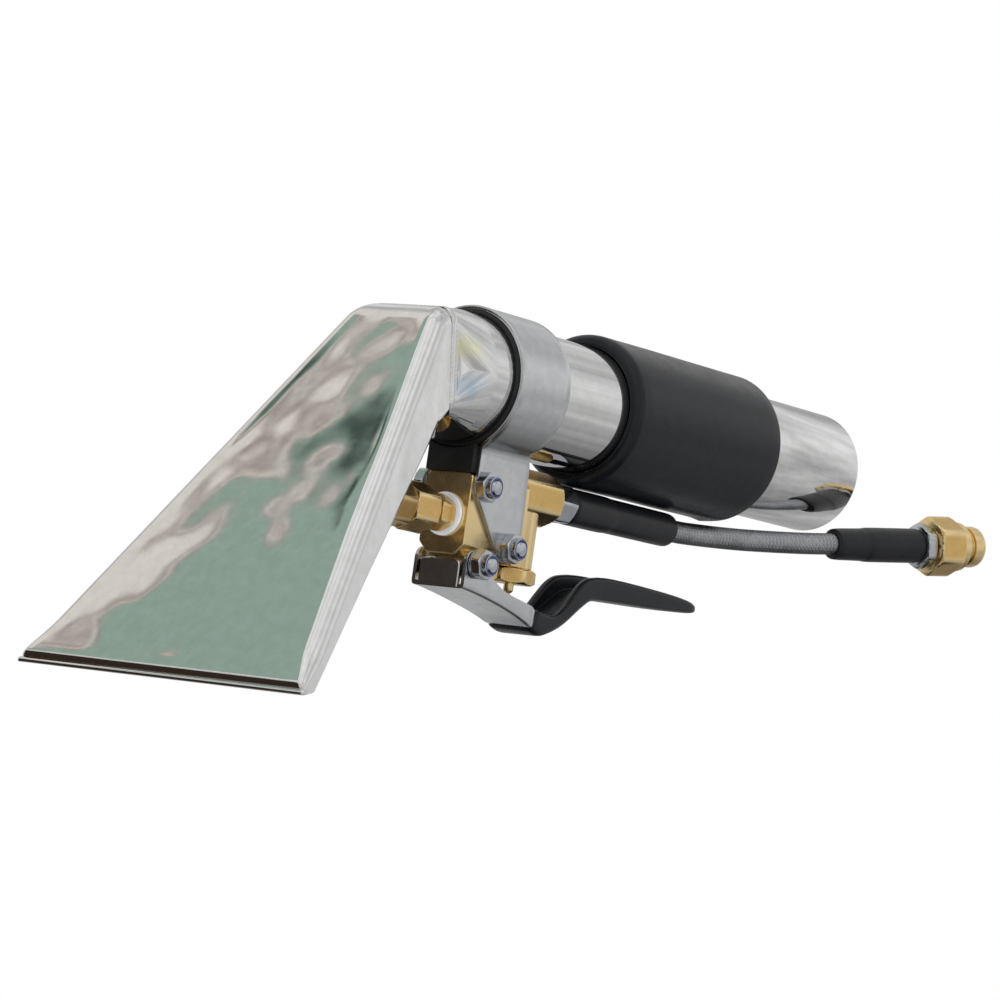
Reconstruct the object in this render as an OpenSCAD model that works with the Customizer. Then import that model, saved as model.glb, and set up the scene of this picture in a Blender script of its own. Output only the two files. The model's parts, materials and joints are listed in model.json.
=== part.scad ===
// Upholstery hand wand of a hot-water carpet extractor: vacuum head, neck and tube, with a
// trigger-worked solution valve clamped under the tube. Millimetres, +Z up, +X to the rear.
// The wand lies on a table, on the rear lip of its head and the belly of its trigger.

/* [Vacuum tube] */
// Outside radius of the vacuum tube
tube_r = 19.05; // [18.5:0.05:19.5]
// Wall thickness of the tube
tube_wall = 1.65; // [1.2:0.05:2]
// Rear end of the tube, measured from the front edge of the clamp band
tube_rear = 187.5; // [175:0.5:230]

/* [Head] */
// Width across the lips
head_width = 101.6; // [90:0.2:120]
// Width at the top of the face
head_top_width = 34.4; // [32:0.2:38]
// Length of the sloping face
face_length = 137.4; // [125:0.2:145]
// Thickness of the sheet steel
sheet = 1.2; // [1:0.1:1.6]

/* [Grip] */
// Outside radius of the dipped vinyl grip
grip_r = 23.2; // [21.5:0.1:23.2]
// Length of the grip
grip_length = 78; // [60:1:100]

/* [Clamp] */
// Width of the clamp band along the tube
band_width = 23.6; // [20:0.2:26]
// Thickness of the clamp strip
band_wall = 1.3; // [1:0.1:1.3]

/* [Trigger] */
// Thickness of the trigger's steel
trigger_wall = 1.2; // [1:0.1:1.3]
// Thickness of the vinyl dip on the trigger
dip = 1.1; // [0.8:0.1:1.3]

/* [Hose] */
// Outside radius of the braided hose
hose_r = 3.5; // [3:0.1:3.8]
// Outside radius of the sleeves over the hose ends
sleeve_r = 5.6; // [5:0.1:5.6]

/* [Hidden] */
$fn = 64;

// ---- head, in the frame of the tube ----
face_top = [-36.3, 14.1];        // x and z where the straight face begins
face_tilt = 35.4;                // angle of the face from the vertical
face_dir = [-sin(face_tilt), -cos(face_tilt)];
face_in = [cos(face_tilt), -sin(face_tilt)];
neck_x = -28.5;                  // plane of the weld between head and neck
head_top_z = 16.3;
neck_low_z = -14;
lip_front = face_top + face_length * face_dir;
lip_back = lip_front + [7.6, -0.5];
plate_top = [-33.5, -15];
bend_r = 11.8;
side_draft = 0.126;              // the side walls close in by this much for each mm behind the face

// ---- valve and bolts ----
body_half = 8.2;                 // half width of the valve body
ear_face = body_half + band_wall;
body_front = 0.3;
body_low = -51;
body_high = -27;
barrel_x = 35.6;
hose_z = -29.2;                  // height of the inlet boss and of the hose in front
jet_z = -39.6;                   // height of the outlet and the jet
hose_start = 60;
bolt_r = 2.45;
hole_r = 2.55;
upper_bolt = [4.3, -30.6];
lower_bolt = [17.9, -46.6];
pivot = [6, -52.9];
pivot_hole_r = 2.5;
stem_r = 1.5;
stem_shoulder = -58.2;
pin_r = 0.75;
pin_tip = -65.3;

// ---- trigger: height of its two edges and its half width, from front to rear ----
trigger_top = [[0, -49.4], [10, -49.6], [13.7, -54.6], [18, -57.4], [24, -59.4], [36, -61.2], [42, -62.6],
    [50, -62.6], [55, -60], [59, -55.6], [63, -51.6], [68, -49.3], [80, -48.2], [108, -48.6], [124, -49.5],
    [131.5, -51.2]];
trigger_low = [[0, -60.5], [8, -61.4], [19, -63.2], [30, -65.5], [38, -67.8], [44, -69.7], [49, -68.4], [56, -65],
    [64.5, -59], [70, -56.2], [80, -55.3], [108, -54.3], [124, -53.4], [131.5, -52.4]];
trigger_half = [[0, 9.5], [20, 9.5], [41, 8.4], [66, 7.3], [110, 5.4], [124, 4.6], [129, 4], [131.5, 3]];
belly = trigger_low[5];          // lowest point of the belly, which rests on the table
dip_x = 38;                      // the vinyl dip starts here
steel_x = 124;                   // the steel ends inside the dip

// ---- hose, a route that leaves the ferrule and swings out to the side ----
hose_route = [[hose_start, 0, hose_z], [71, 0, hose_z], [82, 0, hose_z], [93, 0, hose_z], [104, 0, hose_z],
    [113, 0, -29.1], [121, -0.1, -28.9], [130, -0.8, -28.4], [139, -1.9, -27.8], [149, -3.7, -27], [158, -5.9, -26.1],
    [167, -8.4, -25.1], [176, -11.2, -24], [185.3, -14, -22.7], [195, -16.8, -21.4], [205, -19.6, -20],
    [216, -22.7, -18.5]];
rear_start = [185.3, -14, -22.7];  // front end of the rear sleeve
rear_yaw = -15.8;
rear_pitch = 7.5;

// ---- the pose at rest: the rear lip and the belly both touch the table ----
rest_span = belly - lip_back;
tilt = atan2(rest_span[1], rest_span[0]);
function turned_x(p) = p[0] * cos(tilt) + p[1] * sin(tilt);
function turned_z(p) = -p[0] * sin(tilt) + p[1] * cos(tilt);
lift = -turned_z(lip_back);
centre_shift = -(turned_x(lip_front) + turned_x([tube_rear, tube_r])) / 2;

module rest_pose() translate([centre_shift, 0, lift]) rotate([0, tilt, 0]) children();

// ---- helpers ----
module along_x(at) translate(at) rotate([0, 90, 0]) children();
module rod_x(x0, x1, r, z = 0) along_x([x0, 0, z]) cylinder(h = x1 - x0, r = r);
module rod_y(p, y0, y1, r) translate([p[0], y0, p[1]]) rotate([-90, 0, 0]) cylinder(h = y1 - y0, r = r);
module hex_x(x0, x1, across, z, turn = 0)
    along_x([x0, 0, z]) rotate([0, 0, turn]) cylinder(h = x1 - x0, r = across / sqrt(3), $fn = 6);
module hex_y(p, y0, y1, across, turn = 0)
    translate([p[0], y0, p[1]]) rotate([-90, 0, 0]) rotate([0, 0, turn])
        cylinder(h = y1 - y0, r = across / sqrt(3), $fn = 6);
// an outline in x and z, given a thickness across y
module side_plate(outline, y0, y1)
    translate([0, y1, 0]) rotate([90, 0, 0]) linear_extrude(y1 - y0) polygon(outline);
module ring_x(x0, x1, ro, ri, z = 0) difference() {
    rod_x(x0, x1, ro, z);
    rod_x(x0 - 1, x1 + 1, ri, z);
}
function unit(v) = v / norm(v);
// closed skin through a list of rings. Inner rings make a bore, which is blind when they are fewer.
// A ring that isn't convex lists the convex patches of its caps.
function triangles(a, b, c, d) = [[a, b, c], [a, c, d]];
module skin(outer, inner = [], patches = []) {
    m = len(outer);
    n = len(outer[0]);
    k = len(inner);
    points = [for (ring = outer, p = ring) p, for (ring = inner, p = ring) p];
    function o(i, j) = i * n + j % n;
    function h(i, j) = (m + i) * n + j % n;
    sides = [for (i = [0:m - 2], j = [0:n - 1])
        each triangles(o(i, j), o(i + 1, j), o(i + 1, j + 1), o(i, j + 1))];
    cap = len(patches) > 0 ? patches : [[for (j = [0:n - 1]) j]];
    front_cap = [for (c = cap) [for (j = c) o(0, j)]];
    rear_cap = [for (c = cap) [for (q = [len(c) - 1:-1:0]) o(m - 1, c[q])]];
    bore = k == 0 ? [] : [for (i = [0:k - 2], j = [0:n - 1])
        each triangles(h(i, j), h(i, j + 1), h(i + 1, j + 1), h(i + 1, j))];
    front_mouth = [for (j = [0:n - 1]) each triangles(o(0, j), o(0, j + 1), h(0, j + 1), h(0, j))];
    rear_mouth = [for (j = [0:n - 1])
        each triangles(o(m - 1, j), h(m - 1, j), h(m - 1, j + 1), o(m - 1, j + 1))];
    bore_floor = [for (c = cap) [for (j = c) h(k - 1, j)]];
    if (k == 0) polyhedron(points, concat(sides, front_cap, rear_cap));
    else if (k < m) polyhedron(points, concat(sides, bore, front_mouth, rear_cap, bore_floor));
    else polyhedron(points, concat(sides, bore, front_mouth, rear_mouth));
}
function tangent(p, i) = unit(p[min(i + 1, len(p) - 1)] - p[max(i - 1, 0)]);
function swept(p, r, n) = [for (i = [0:len(p) - 1])
    let (t = tangent(p, i), s = unit(cross([0, 0, 1], t)), u = cross(t, s))
        [for (j = [0:n - 1]) p[i] + r * (cos(360 * j / n) * s + sin(360 * j / n) * u)]];

// ---- head ----
function face_point(s, depth) = face_top + s * face_dir + depth * face_in;
// half width at a distance s down the face and a depth behind it
function head_half(s, depth) =
    (head_top_width + (head_width - head_top_width) * s / face_length) / 2 - side_draft * depth;
bend_turn = 90 - face_tilt;
bend_length = bend_r * tan(bend_turn / 2);
corner_s = (head_top_z - face_top[1]) / face_dir[1];
bend_centre = [face_point(corner_s, 0)[0] + bend_length, head_top_z - bend_r];
function bend_arc(r) = [for (k = [0:6]) bend_centre + r * [-sin(bend_turn * k / 6), cos(bend_turn * k / 6)]];
// everything between the slanting side walls, drawn in by a given amount
between_s = [-15, face_length + 10];
between_depth = [-5, 45];
module between_sides(inset) polyhedron(
    [for (depth = between_depth, s = between_s, side = [-1, 1])
        let (p = face_point(s, depth)) [p[0], side * (head_half(s, depth) - inset), p[1]]],
    [[2, 3, 1, 0], [5, 7, 6, 4], [1, 5, 4, 0], [6, 7, 3, 2], [4, 6, 2, 0], [3, 7, 5, 1]]);
module head_outside() intersection() {
    side_plate(concat([[neck_x, head_top_z]], bend_arc(bend_r),
        [lip_front, lip_back, plate_top, [neck_x, neck_low_z]]), -80, 80);
    between_sides(0);
}
module head_inside() intersection() {
    side_plate(concat([[neck_x + 9, head_top_z - sheet]], bend_arc(bend_r - sheet),
        [face_point(face_length + 9, sheet), [-60, -120], [neck_x + 9, -60]]), -80, 80);
    between_sides(sheet);
}
module head_front_pan() color("gainsboro") rest_pose() difference() {
    head_outside();
    head_inside();
}
plate_in = sheet * unit([lip_back[1] - plate_top[1], plate_top[0] - lip_back[0]]);
grommet_r = 6.8;
spigot_r = 4.6;
module head_back_plate() color("lightgray") rest_pose() difference() {
    intersection() {
        side_plate([lip_back, plate_top, [neck_x, neck_low_z], [neck_x, neck_low_z + sheet],
            plate_top + [-0.6, sheet], lip_back + plate_in], -80, 80);
        between_sides(sheet);
    }
    rod_x(-75, -35, grommet_r, jet_z);
}

// ---- neck: a rectangle that turns into the round of the tube ----
neck_end = 4;                    // butt joint with the tube, under the clamp band
neck_round = -9;                 // the section is round from here on
mid_z = (head_top_z + neck_low_z) / 2;
// half width of the head at a height on the weld plane
function weld_half(z) = let (p = [neck_x, z] - face_top) head_half(p * face_dir, p * face_in);
function box_reach(a, hy, hz) = pow(pow(abs(cos(a)) / hy, 6) + pow(abs(sin(a)) / hz, 6), -1 / 6);
function neck_ring(x, wall) = let (
    k = x >= neck_round ? 1 : (x - neck_x) / (neck_round - neck_x),
    hy = weld_half(mid_z) - wall,
    hz = (head_top_z - neck_low_z) / 2 - wall)
    [for (j = [0:39]) let (a = 9 * j, r = (1 - k) * box_reach(a, hy, hz) + k * (tube_r - wall),
        lean = (1 - k) * (weld_half(mid_z + r * sin(a)) / weld_half(mid_z) - 1))
        [x, r * cos(a) * (1 + lean), (1 - k) * mid_z + r * sin(a)]];
module neck_transition() color("gainsboro") rest_pose()
    skin([for (x = [neck_x, -24, -19, -14, neck_round, neck_end]) neck_ring(x, 0)],
        [for (x = [neck_x, -24, -19, -14, neck_round, neck_end]) neck_ring(x, tube_wall)]);
// x behind the weld plane, and how far the bead stands out there
weld_profile = [[0.03, 0.7], [0.6, 0.9], [1.3, 0.4]];
weld_gap = 0.05;
module neck_weld_bead() color("silver") rest_pose()
    skin([for (w = weld_profile) neck_ring(neck_x + w[0], -w[1])],
        [for (w = weld_profile) neck_ring(neck_x + w[0], -weld_gap)]);
spigot_x = 137.2;                // a fine turned line, behind the grip, marks where the cuff's seat begins
module vacuum_tube() color("gainsboro") rest_pose() difference() {
    ring_x(neck_end, tube_rear, tube_r, tube_r - tube_wall);
    ring_x(spigot_x - 1, spigot_x, tube_r + 1, tube_r - 0.2);
}

// ---- grip ----
grip_x = 57.2;
lip_round = 3;
module grip_sleeve() color("black") rest_pose() along_x([grip_x, 0, 0]) rotate_extrude() polygon(concat(
    [[tube_r, 0]],
    [for (k = [0:6]) [grip_r - lip_round + lip_round * sin(15 * k), lip_round - lip_round * cos(15 * k)]],
    [[grip_r, grip_length - 0.5], [grip_r - 0.5, grip_length], [tube_r, grip_length]]));

// ---- clamp ----
liner_r = tube_r + 1.3;
band_r = liner_r + band_wall;
ear_outline = [[1.5, -17], [1.2, -30.8], [2, -33], [15, -48.8], [17.5, -50.2], [22.5, -50.2], [25.5, -47.5],
    [26, -43], [25.4, -22], [23.6, -17]];
module clamp_band() color("silver") rest_pose() difference() {
    union() {
        difference() {
            rod_x(0, band_width, band_r);
            translate([-1, -body_half, -30]) cube([band_width + 2, 2 * body_half, 30]);
        }
        for (s = [-1, 1]) side_plate(ear_outline, min(s * body_half, s * ear_face), max(s * body_half, s * ear_face));
    }
    rod_x(-1, band_width + 3, liner_r);
    for (p = [upper_bolt, lower_bolt]) rod_y(p, -20, 20, hole_r);
}
module clamp_liner() color("black") rest_pose() ring_x(-0.3, band_width + 0.3, liner_r, tube_r);
module saddle_pad() color("black") rest_pose() difference() {
    translate([-1, -body_half, body_high]) cube([27, 2 * body_half, 10]);
    rod_x(-2, 30, liner_r);
    translate([band_width + 0.3, -10, liner_r * -1]) cube([5, 20, 3]);
}

// ---- fasteners ----
nut_across = 8;
nut_high = 3;
collar_r = 3.3;
collar_high = 1.7;
// each bolt: its place, where its nut side starts, the washers' thickness under its nut and under its head,
// and how far its end stands out
bolt_seats = [[upper_bolt, ear_face, 0.2, 0.2, 0.5], [lower_bolt, ear_face, 1.8, 1.8, 0.5],
    [pivot, ear_face + 0.3, 0.8, 0, 0.5]];
function nut_face(b) = b[1] + b[2];
function head_face(b) = b[1] + b[3];
module shank(b) {
    tip = nut_face(b) + nut_high + collar_high + b[4];
    rod_y(b[0], 0.6 - tip, head_face(b) + 0.1, bolt_r);
    rod_y(b[0], -tip, 0.6 - tip, bolt_r - 0.6);
}
module clamp_bolts() color("silver") rest_pose() for (i = [0, 1]) {
    b = bolt_seats[i];
    shank(b);
    hex_y(b[0], head_face(b), head_face(b) + 3.4, nut_across);
}
module trigger_pivot_bolt() color("silver") rest_pose() {
    b = bolt_seats[2];
    shank(b);
    rod_y(b[0], head_face(b), head_face(b) + 0.8, 3.5);
}
module lock_nuts() color("silver") rest_pose() for (b = bolt_seats) difference() {
    union() {
        hex_y(b[0], -nut_face(b) - nut_high, -nut_face(b), nut_across, 12);
        rod_y(b[0], -nut_face(b) - nut_high - collar_high, -nut_face(b) - nut_high, collar_r);
    }
    rod_y(b[0], -nut_face(b) - nut_high - 5, 0, bolt_r);
    rod_y(b[0], -nut_face(b) - nut_high - 5, -nut_face(b) - nut_high - 0.3, collar_r - 0.5);
}
module lock_nut_rings() color("lightsteelblue") rest_pose() for (b = bolt_seats) difference() {
    rod_y(b[0], -nut_face(b) - nut_high - collar_high + 0.2, -nut_face(b) - nut_high - 0.3, collar_r - 0.5);
    rod_y(b[0], -30, 0, bolt_r);
}
module washer(b, y0, y1) difference() {
    rod_y(b[0], y0, y1, 4.3);
    rod_y(b[0], -30, 30, hole_r);
}
module bolt_washers() color("silver") rest_pose() {
    for (b = bolt_seats) washer(b, -nut_face(b), -b[1]);
    for (i = [0, 1]) washer(bolt_seats[i], bolt_seats[i][1], head_face(bolt_seats[i]));
}

// ---- solution valve ----
body_rear = 29;
barrel_top = -23.4;
barrel_r = 6;
barrel_low = body_low;
boss_end = 48;
chamber_r = 4;
port_r = 2.2;
module valve_body() color("peru") rest_pose() difference() {
    union() {
        intersection() {
            translate([body_front, -body_half, body_low])
                cube([body_rear - body_front, 2 * body_half, body_high - body_low]);
            along_x([-1, 0, 0]) linear_extrude(40) polygon([[-body_low, body_half - 3], [-body_low - 3, body_half],
                [-body_high + 1, body_half], [-body_high, body_half - 1], [-body_high, 1 - body_half],
                [-body_high + 1, -body_half], [-body_low - 3, -body_half], [-body_low, 3 - body_half]]);
        }
        translate([barrel_x, 0, barrel_low]) cylinder(h = hose_z + 2 - barrel_low, r = barrel_r);
        translate([body_rear - 2, -6, barrel_low]) cube([barrel_x - body_rear + 2, 12, -28 - barrel_low]);
        intersection() {
            hex_x(body_rear - 2, boss_end, 14.4, hose_z);
            union() {
                rod_x(body_rear - 3, boss_end - 1.4, 8, hose_z);
                rod_x(boss_end - 1.5, boss_end, 6.9, hose_z);
            }
        }
        translate([3.9, -7.7, -57]) cube([8.4, 15.4, 8]);
    }
    // relief for the trigger's walls
    for (s = [-1, 1]) translate([-1, s * 9.85 - 2, -53]) cube([16.5, 4, 6.2]);
    translate([barrel_x, 0, seat_top - 1]) cylinder(h = 25, r = chamber_r);
    translate([barrel_x, 0, -60]) cylinder(h = 30, r = port_r);
    translate([barrel_x, 0, -60]) cylinder(h = 15, r = chamber_r);
    rod_x(barrel_x, boss_end - 6, port_r, hose_z);
    rod_x(boss_end - 6, boss_end + 1, 4.4, hose_z);
    rod_x(-1, barrel_x, port_r, jet_z);
    rod_x(-1, body_front + 9, 4, jet_z);
    for (p = [upper_bolt, lower_bolt, pivot]) rod_y(p, -20, 20, hole_r);
}
module at_barrel(z) translate([barrel_x, 0, z]) children();
plug_low = -26.5;
module valve_top_plug() color("goldenrod") rest_pose() difference() {
    at_barrel(plug_low) cylinder(h = barrel_top - plug_low, r = chamber_r);
    at_barrel(barrel_top - 0.8) translate([-5, -0.5, 0]) cube([10, 1, 2]);
}
seat_top = -35;
module valve_seat() color("white") rest_pose() difference() {
    at_barrel(seat_top - 1) cylinder(h = 1, r = chamber_r);
    at_barrel(seat_top - 2) cylinder(h = 3, r = 1.9);
}
poppet_top = -33.2;
module valve_poppet() color("silver") rest_pose()
    at_barrel(seat_top) cylinder(h = poppet_top - seat_top, r = 3.2);
spring_turns = 4;
spring_wire = 0.3;
module valve_spring() color("silver") rest_pose() {
    low = poppet_top + spring_wire + 0.05;
    high = plug_low - spring_wire - 0.05;
    steps = 12 * spring_turns;
    skin(swept([for (i = [0:steps]) [barrel_x + 2.6 * cos(30 * i), 2.6 * sin(30 * i), low + (high - low) * i / steps]],
        spring_wire, 6));
}
module valve_plunger() color("gold") rest_pose() {
    at_barrel(stem_shoulder + 0.6) cylinder(h = seat_top - stem_shoulder - 0.6, r = stem_r);
    at_barrel(stem_shoulder) cylinder(h = 0.6, r = stem_r - 0.5);
    at_barrel(pin_tip) cylinder(h = stem_shoulder - pin_tip, r = pin_r);
}
module plunger_seal() color("black") rest_pose()
    at_barrel(-46.1) rotate_extrude() translate([2.45, 0]) circle(r = 0.9, $fn = 24);
gland_low = -55.5;
module valve_gland_nut() color("darkgoldenrod") rest_pose() difference() {
    union() {
        at_barrel(gland_low) rotate([0, 0, 12]) cylinder(h = barrel_low - gland_low, r = 13.4 / sqrt(3), $fn = 6);
        at_barrel(barrel_low - 0.1) cylinder(h = 3, r = chamber_r);
    }
    at_barrel(-60) cylinder(h = 20, r = stem_r + 0.05);
}

// ---- jet line, from the outlet forward into the head ----
nipple_r = 3.9;
jet_rear = -21;
module jet_connector() color("goldenrod") rest_pose() difference() {
    union() {
        rod_x(-24, body_front + 8, nipple_r, jet_z);
        hex_x(-7.2, -0.9, 9.8, jet_z);
    }
    rod_x(-30, 12, 2, jet_z);
}
module jet_washer() color("white") rest_pose() ring_x(-0.9, body_front, 6.4, nipple_r, jet_z);
module jet_lock_nut() color("goldenrod") rest_pose() difference() {
    hex_x(jet_rear, -10, 13, jet_z);
    rod_x(-30, 0, nipple_r, jet_z);
}
jet_front = -44;
spigot_front = -67;
module jet_body() color("peru") rest_pose() difference() {
    union() {
        hex_x(jet_front, jet_rear, 12.6, jet_z, 18);
        rod_x(spigot_front, jet_front, spigot_r, jet_z);
    }
    rod_x(-24.5, -10, nipple_r, jet_z);
    rod_x(-70, -10, 2, jet_z);
    rod_x(-70, spigot_front + 4.8, 3, jet_z);
}
module jet_grommet() color("black") rest_pose() intersection() {
    ring_x(-75, -35, grommet_r, spigot_r, jet_z);
    side_plate([lip_back - 1.6 * plate_in, plate_top - 1.6 * plate_in, plate_top + 1.7 * plate_in,
        lip_back + 1.7 * plate_in], -20, 20);
}
module jet_inner_nut() color("goldenrod") rest_pose() difference() {
    hex_x(spigot_front, spigot_front + 2.3, 12, jet_z);
    rod_x(-70, -50, spigot_r, jet_z);
}
nozzle_front = spigot_front - 2.4;
module at_nozzle() translate([nozzle_front + 1.2, 0, jet_z]) rotate([0, 180 + face_tilt, 0]) children();
module spray_nozzle() color("gold") rest_pose() difference() {
    union() {
        rod_x(nozzle_front, spigot_front, 3.8, jet_z);
        rod_x(spigot_front, spigot_front + 3.8, 3, jet_z);
        at_nozzle() cylinder(h = 7, r = 2.2);
    }
    at_nozzle() cylinder(h = 10, r = 0.8);
    rod_x(nozzle_front + 1.2, -50, 1.4, jet_z);
}
module nozzle_strainer() color("silver") rest_pose() ring_x(spigot_front + 5, -52, 1.8, 1.3, jet_z);

// ---- trigger: a channel bent from sheet, open upwards, with a vinyl dip on its tail ----
// section of a channel, drawn in by inset all round, with walls of the given thickness
function channel(x, inset, wall) = let (
    half = lookup(x, trigger_half) - inset,
    top = lookup(x, trigger_top) - inset,
    low = lookup(x, trigger_low) + inset,
    inner = max(0.3, half - wall),
    floor_z = min(low + wall, top - 0.2))
    [[x, -half, top], [x, -half, low], [x, half, low], [x, half, top],
        [x, inner, top], [x, inner, floor_z], [x, -inner, floor_z], [x, -inner, top]];
channel_patches = [[0, 1, 6, 7], [1, 2, 5, 6], [2, 3, 4, 5]];
bare_stations = [1.3, 5, 8, 10, 13.7, 18, 20, 24, 30, 36, dip_x];
dipped_stations = [dip_x + 0.2, 41, 44, 46.5, 49, 52, 55, 57, 59, 61, 63, 65.5, 68, 72, 80, 94, 108, 116, steel_x];
tab_top = -52.3;
module trigger_lever() color("silver") rest_pose() difference() {
    union() {
        skin(concat([for (x = bare_stations) channel(x, 0, trigger_wall)],
            [for (x = dipped_stations) channel(x, dip, trigger_wall)]), [], channel_patches);
        // stop tab, bent up between the walls
        translate([1.3, -7.2, -60.3]) cube([1.3, 14.4, tab_top + 60.3]);
    }
    rod_y(pivot, -20, 20, pivot_hole_r);
}
module trigger_dip() color("black") rest_pose()
    skin([for (x = concat(dipped_stations, [128, 131.5])) channel(x, 0, trigger_wall + 2 * dip)],
        [for (x = dipped_stations) channel(x, dip, trigger_wall)], channel_patches);

// ---- hose ----
inner_hose_r = hose_r - 0.9;
fitting_end = 57.3;
ferrule_end = 78;
module inlet_fitting() color("silver") rest_pose() difference() {
    union() {
        rod_x(boss_end - 5, boss_end, 4.4, hose_z);
        hex_x(boss_end, fitting_end, 11, hose_z, 30);
        rod_x(fitting_end - 0.5, hose_start + 8, 1.6, hose_z);
    }
    rod_x(30, 80, 1, hose_z);
}
module front_ferrule() color("silver") rest_pose() ring_x(fitting_end, ferrule_end, 4.6, hose_r, hose_z);
module front_sleeve() color("black") rest_pose() difference() {
    rod_x(fitting_end + 0.3, 112, sleeve_r, hose_z);
    rod_x(50, ferrule_end, 4.6, hose_z);
    rod_x(50, 130, hose_r + 0.05, hose_z);
}
module hose_braid() color("gray") rest_pose() skin(swept(hose_route, hose_r, 12), swept(hose_route, inner_hose_r, 12));
module hose_liner() color("white") rest_pose()
    skin(swept(hose_route, inner_hose_r - 0.02, 12), swept(hose_route, 1.7, 12));
module rear_frame() translate(rear_start) rotate([0, 0, rear_yaw]) rotate([0, 90 - rear_pitch, 0]) children();
module rear_sleeve() color("black") rest_pose() rear_frame() difference() {
    cylinder(h = 36.4, r = sleeve_r);
    translate([0, 0, 14]) cylinder(h = 40, r = 4.6);
    translate([0, 0, -1]) cylinder(h = 40, r = hose_r + 0.05);
}
module rear_ferrule() color("silver") rest_pose() rear_frame() difference() {
    union() {
        translate([0, 0, 14]) cylinder(h = 23, r = 4.6);
        translate([0, 0, 36.5]) cylinder(h = 3.9, r = 7.6, $fn = 6);
    }
    translate([0, 0, -1]) cylinder(h = 33.6, r = hose_r);
    cylinder(h = 60, r = 1.7);
}
nut_end = 51.5;
module coupling_nut() color("goldenrod") rest_pose() rear_frame() difference() {
    translate([0, 0, 41]) cylinder(h = nut_end - 41, r = 10, $fn = 6);
    translate([0, 0, 40]) cylinder(h = 12, r = 5.2);
}
nose_r = 6.7;
module quick_plug() color("darkgoldenrod") rest_pose() rear_frame() difference() {
    union() {
        translate([0, 0, 41]) cylinder(h = nut_end - 41, r = 5.2);
        translate([0, 0, nut_end]) cylinder(h = 3.5, r = 8);
        translate([0, 0, 55]) cylinder(h = 6.6, r = nose_r);
        translate([0, 0, 61.6]) cylinder(h = 1.2, r = nose_r - 1);
    }
    translate([0, 0, 56.6]) rotate_extrude() translate([nose_r + 0.3, 0]) circle(r = 1, $fn = 24);
    translate([0, 0, 30]) cylinder(h = 40, r = 2.2);
}
module plug_seal() color("black") rest_pose() rear_frame()
    translate([0, 0, 40.4]) difference() {
        cylinder(h = 0.6, r = 5);
        translate([0, 0, -1]) cylinder(h = 3, r = 2.2);
    }

head_front_pan();
head_back_plate();
neck_transition();
neck_weld_bead();
vacuum_tube();
grip_sleeve();
clamp_band();
clamp_liner();
saddle_pad();
clamp_bolts();
trigger_pivot_bolt();
lock_nuts();
lock_nut_rings();
bolt_washers();
valve_body();
valve_top_plug();
valve_seat();
valve_poppet();
valve_spring();
valve_plunger();
plunger_seal();
valve_gland_nut();
jet_connector();
jet_washer();
jet_lock_nut();
jet_body();
jet_grommet();
jet_inner_nut();
spray_nozzle();
nozzle_strainer();
trigger_lever();
trigger_dip();
inlet_fitting();
front_ferrule();
front_sleeve();
hose_liner();
hose_braid();
rear_ferrule();
rear_sleeve();
coupling_nut();
quick_plug();
plug_seal();
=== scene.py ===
import json
import math

import bmesh
import bpy
from mathutils import Matrix, Vector, noise


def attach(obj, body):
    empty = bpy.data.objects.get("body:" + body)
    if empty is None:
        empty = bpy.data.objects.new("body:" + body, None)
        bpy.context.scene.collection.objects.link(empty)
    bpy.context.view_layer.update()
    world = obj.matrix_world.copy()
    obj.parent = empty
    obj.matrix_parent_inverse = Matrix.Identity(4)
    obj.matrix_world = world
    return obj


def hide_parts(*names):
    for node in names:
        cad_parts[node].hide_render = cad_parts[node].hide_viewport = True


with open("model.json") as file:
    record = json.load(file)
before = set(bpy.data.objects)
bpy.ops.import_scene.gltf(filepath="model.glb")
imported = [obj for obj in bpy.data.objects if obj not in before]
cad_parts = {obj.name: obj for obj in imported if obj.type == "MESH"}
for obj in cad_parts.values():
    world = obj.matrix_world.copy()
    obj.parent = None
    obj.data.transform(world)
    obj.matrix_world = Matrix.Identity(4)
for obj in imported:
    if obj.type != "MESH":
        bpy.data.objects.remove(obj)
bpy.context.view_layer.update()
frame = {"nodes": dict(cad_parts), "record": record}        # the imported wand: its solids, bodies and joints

scene = bpy.context.scene
mm = 0.001

# ---- where things are: x along the tube to the rear, z up from its axis, in millimetres ----

spigot = next(m for m in frame["record"]["mounts"] if m["name"] == "tube_spigot")
tubeAxis = Vector(spigot["axis"]).normalized()
spigotFromBand = 165.0     # the mount's point, measured from the front edge of the clamp band
upAxis = tubeAxis.cross(Vector((0, 1, 0)))
wand = Matrix((
    (tubeAxis.x, 0, upAxis.x),
    (tubeAxis.y, 1, upAxis.y),
    (tubeAxis.z, 0, upAxis.z),
)).to_4x4()
wand.translation = Vector(spigot["pos_m"]) - spigotFromBand * mm * tubeAxis


def toRow(point):
    return wand @ (Vector(point) * mm)


# ---- camera ----

cameraSpec = dict(
    eye=(-1.0596, -0.7891, 0.1411),
    ahead=(0.797363, 0.598648, -0.076372),
    up=(0.045357, 0.066744, 0.996739),
    lens=161.73,
)


def makeCamera(spec):
    ahead, up = Vector(spec["ahead"]).normalized(), Vector(spec["up"]).normalized()
    turn = Matrix((ahead.cross(up), up, -ahead)).transposed().to_4x4()
    turn.translation = spec["eye"]
    data = bpy.data.cameras.new("productCamera")
    data.lens = spec["lens"]
    data.clip_end = 20
    camera = bpy.data.objects.new("productCamera", data)
    camera.matrix_world = turn
    scene.collection.objects.link(camera)
    scene.camera = camera


makeCamera(cameraSpec)
print("camera placed")

# ---- node groups that several finishes share ----


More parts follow.
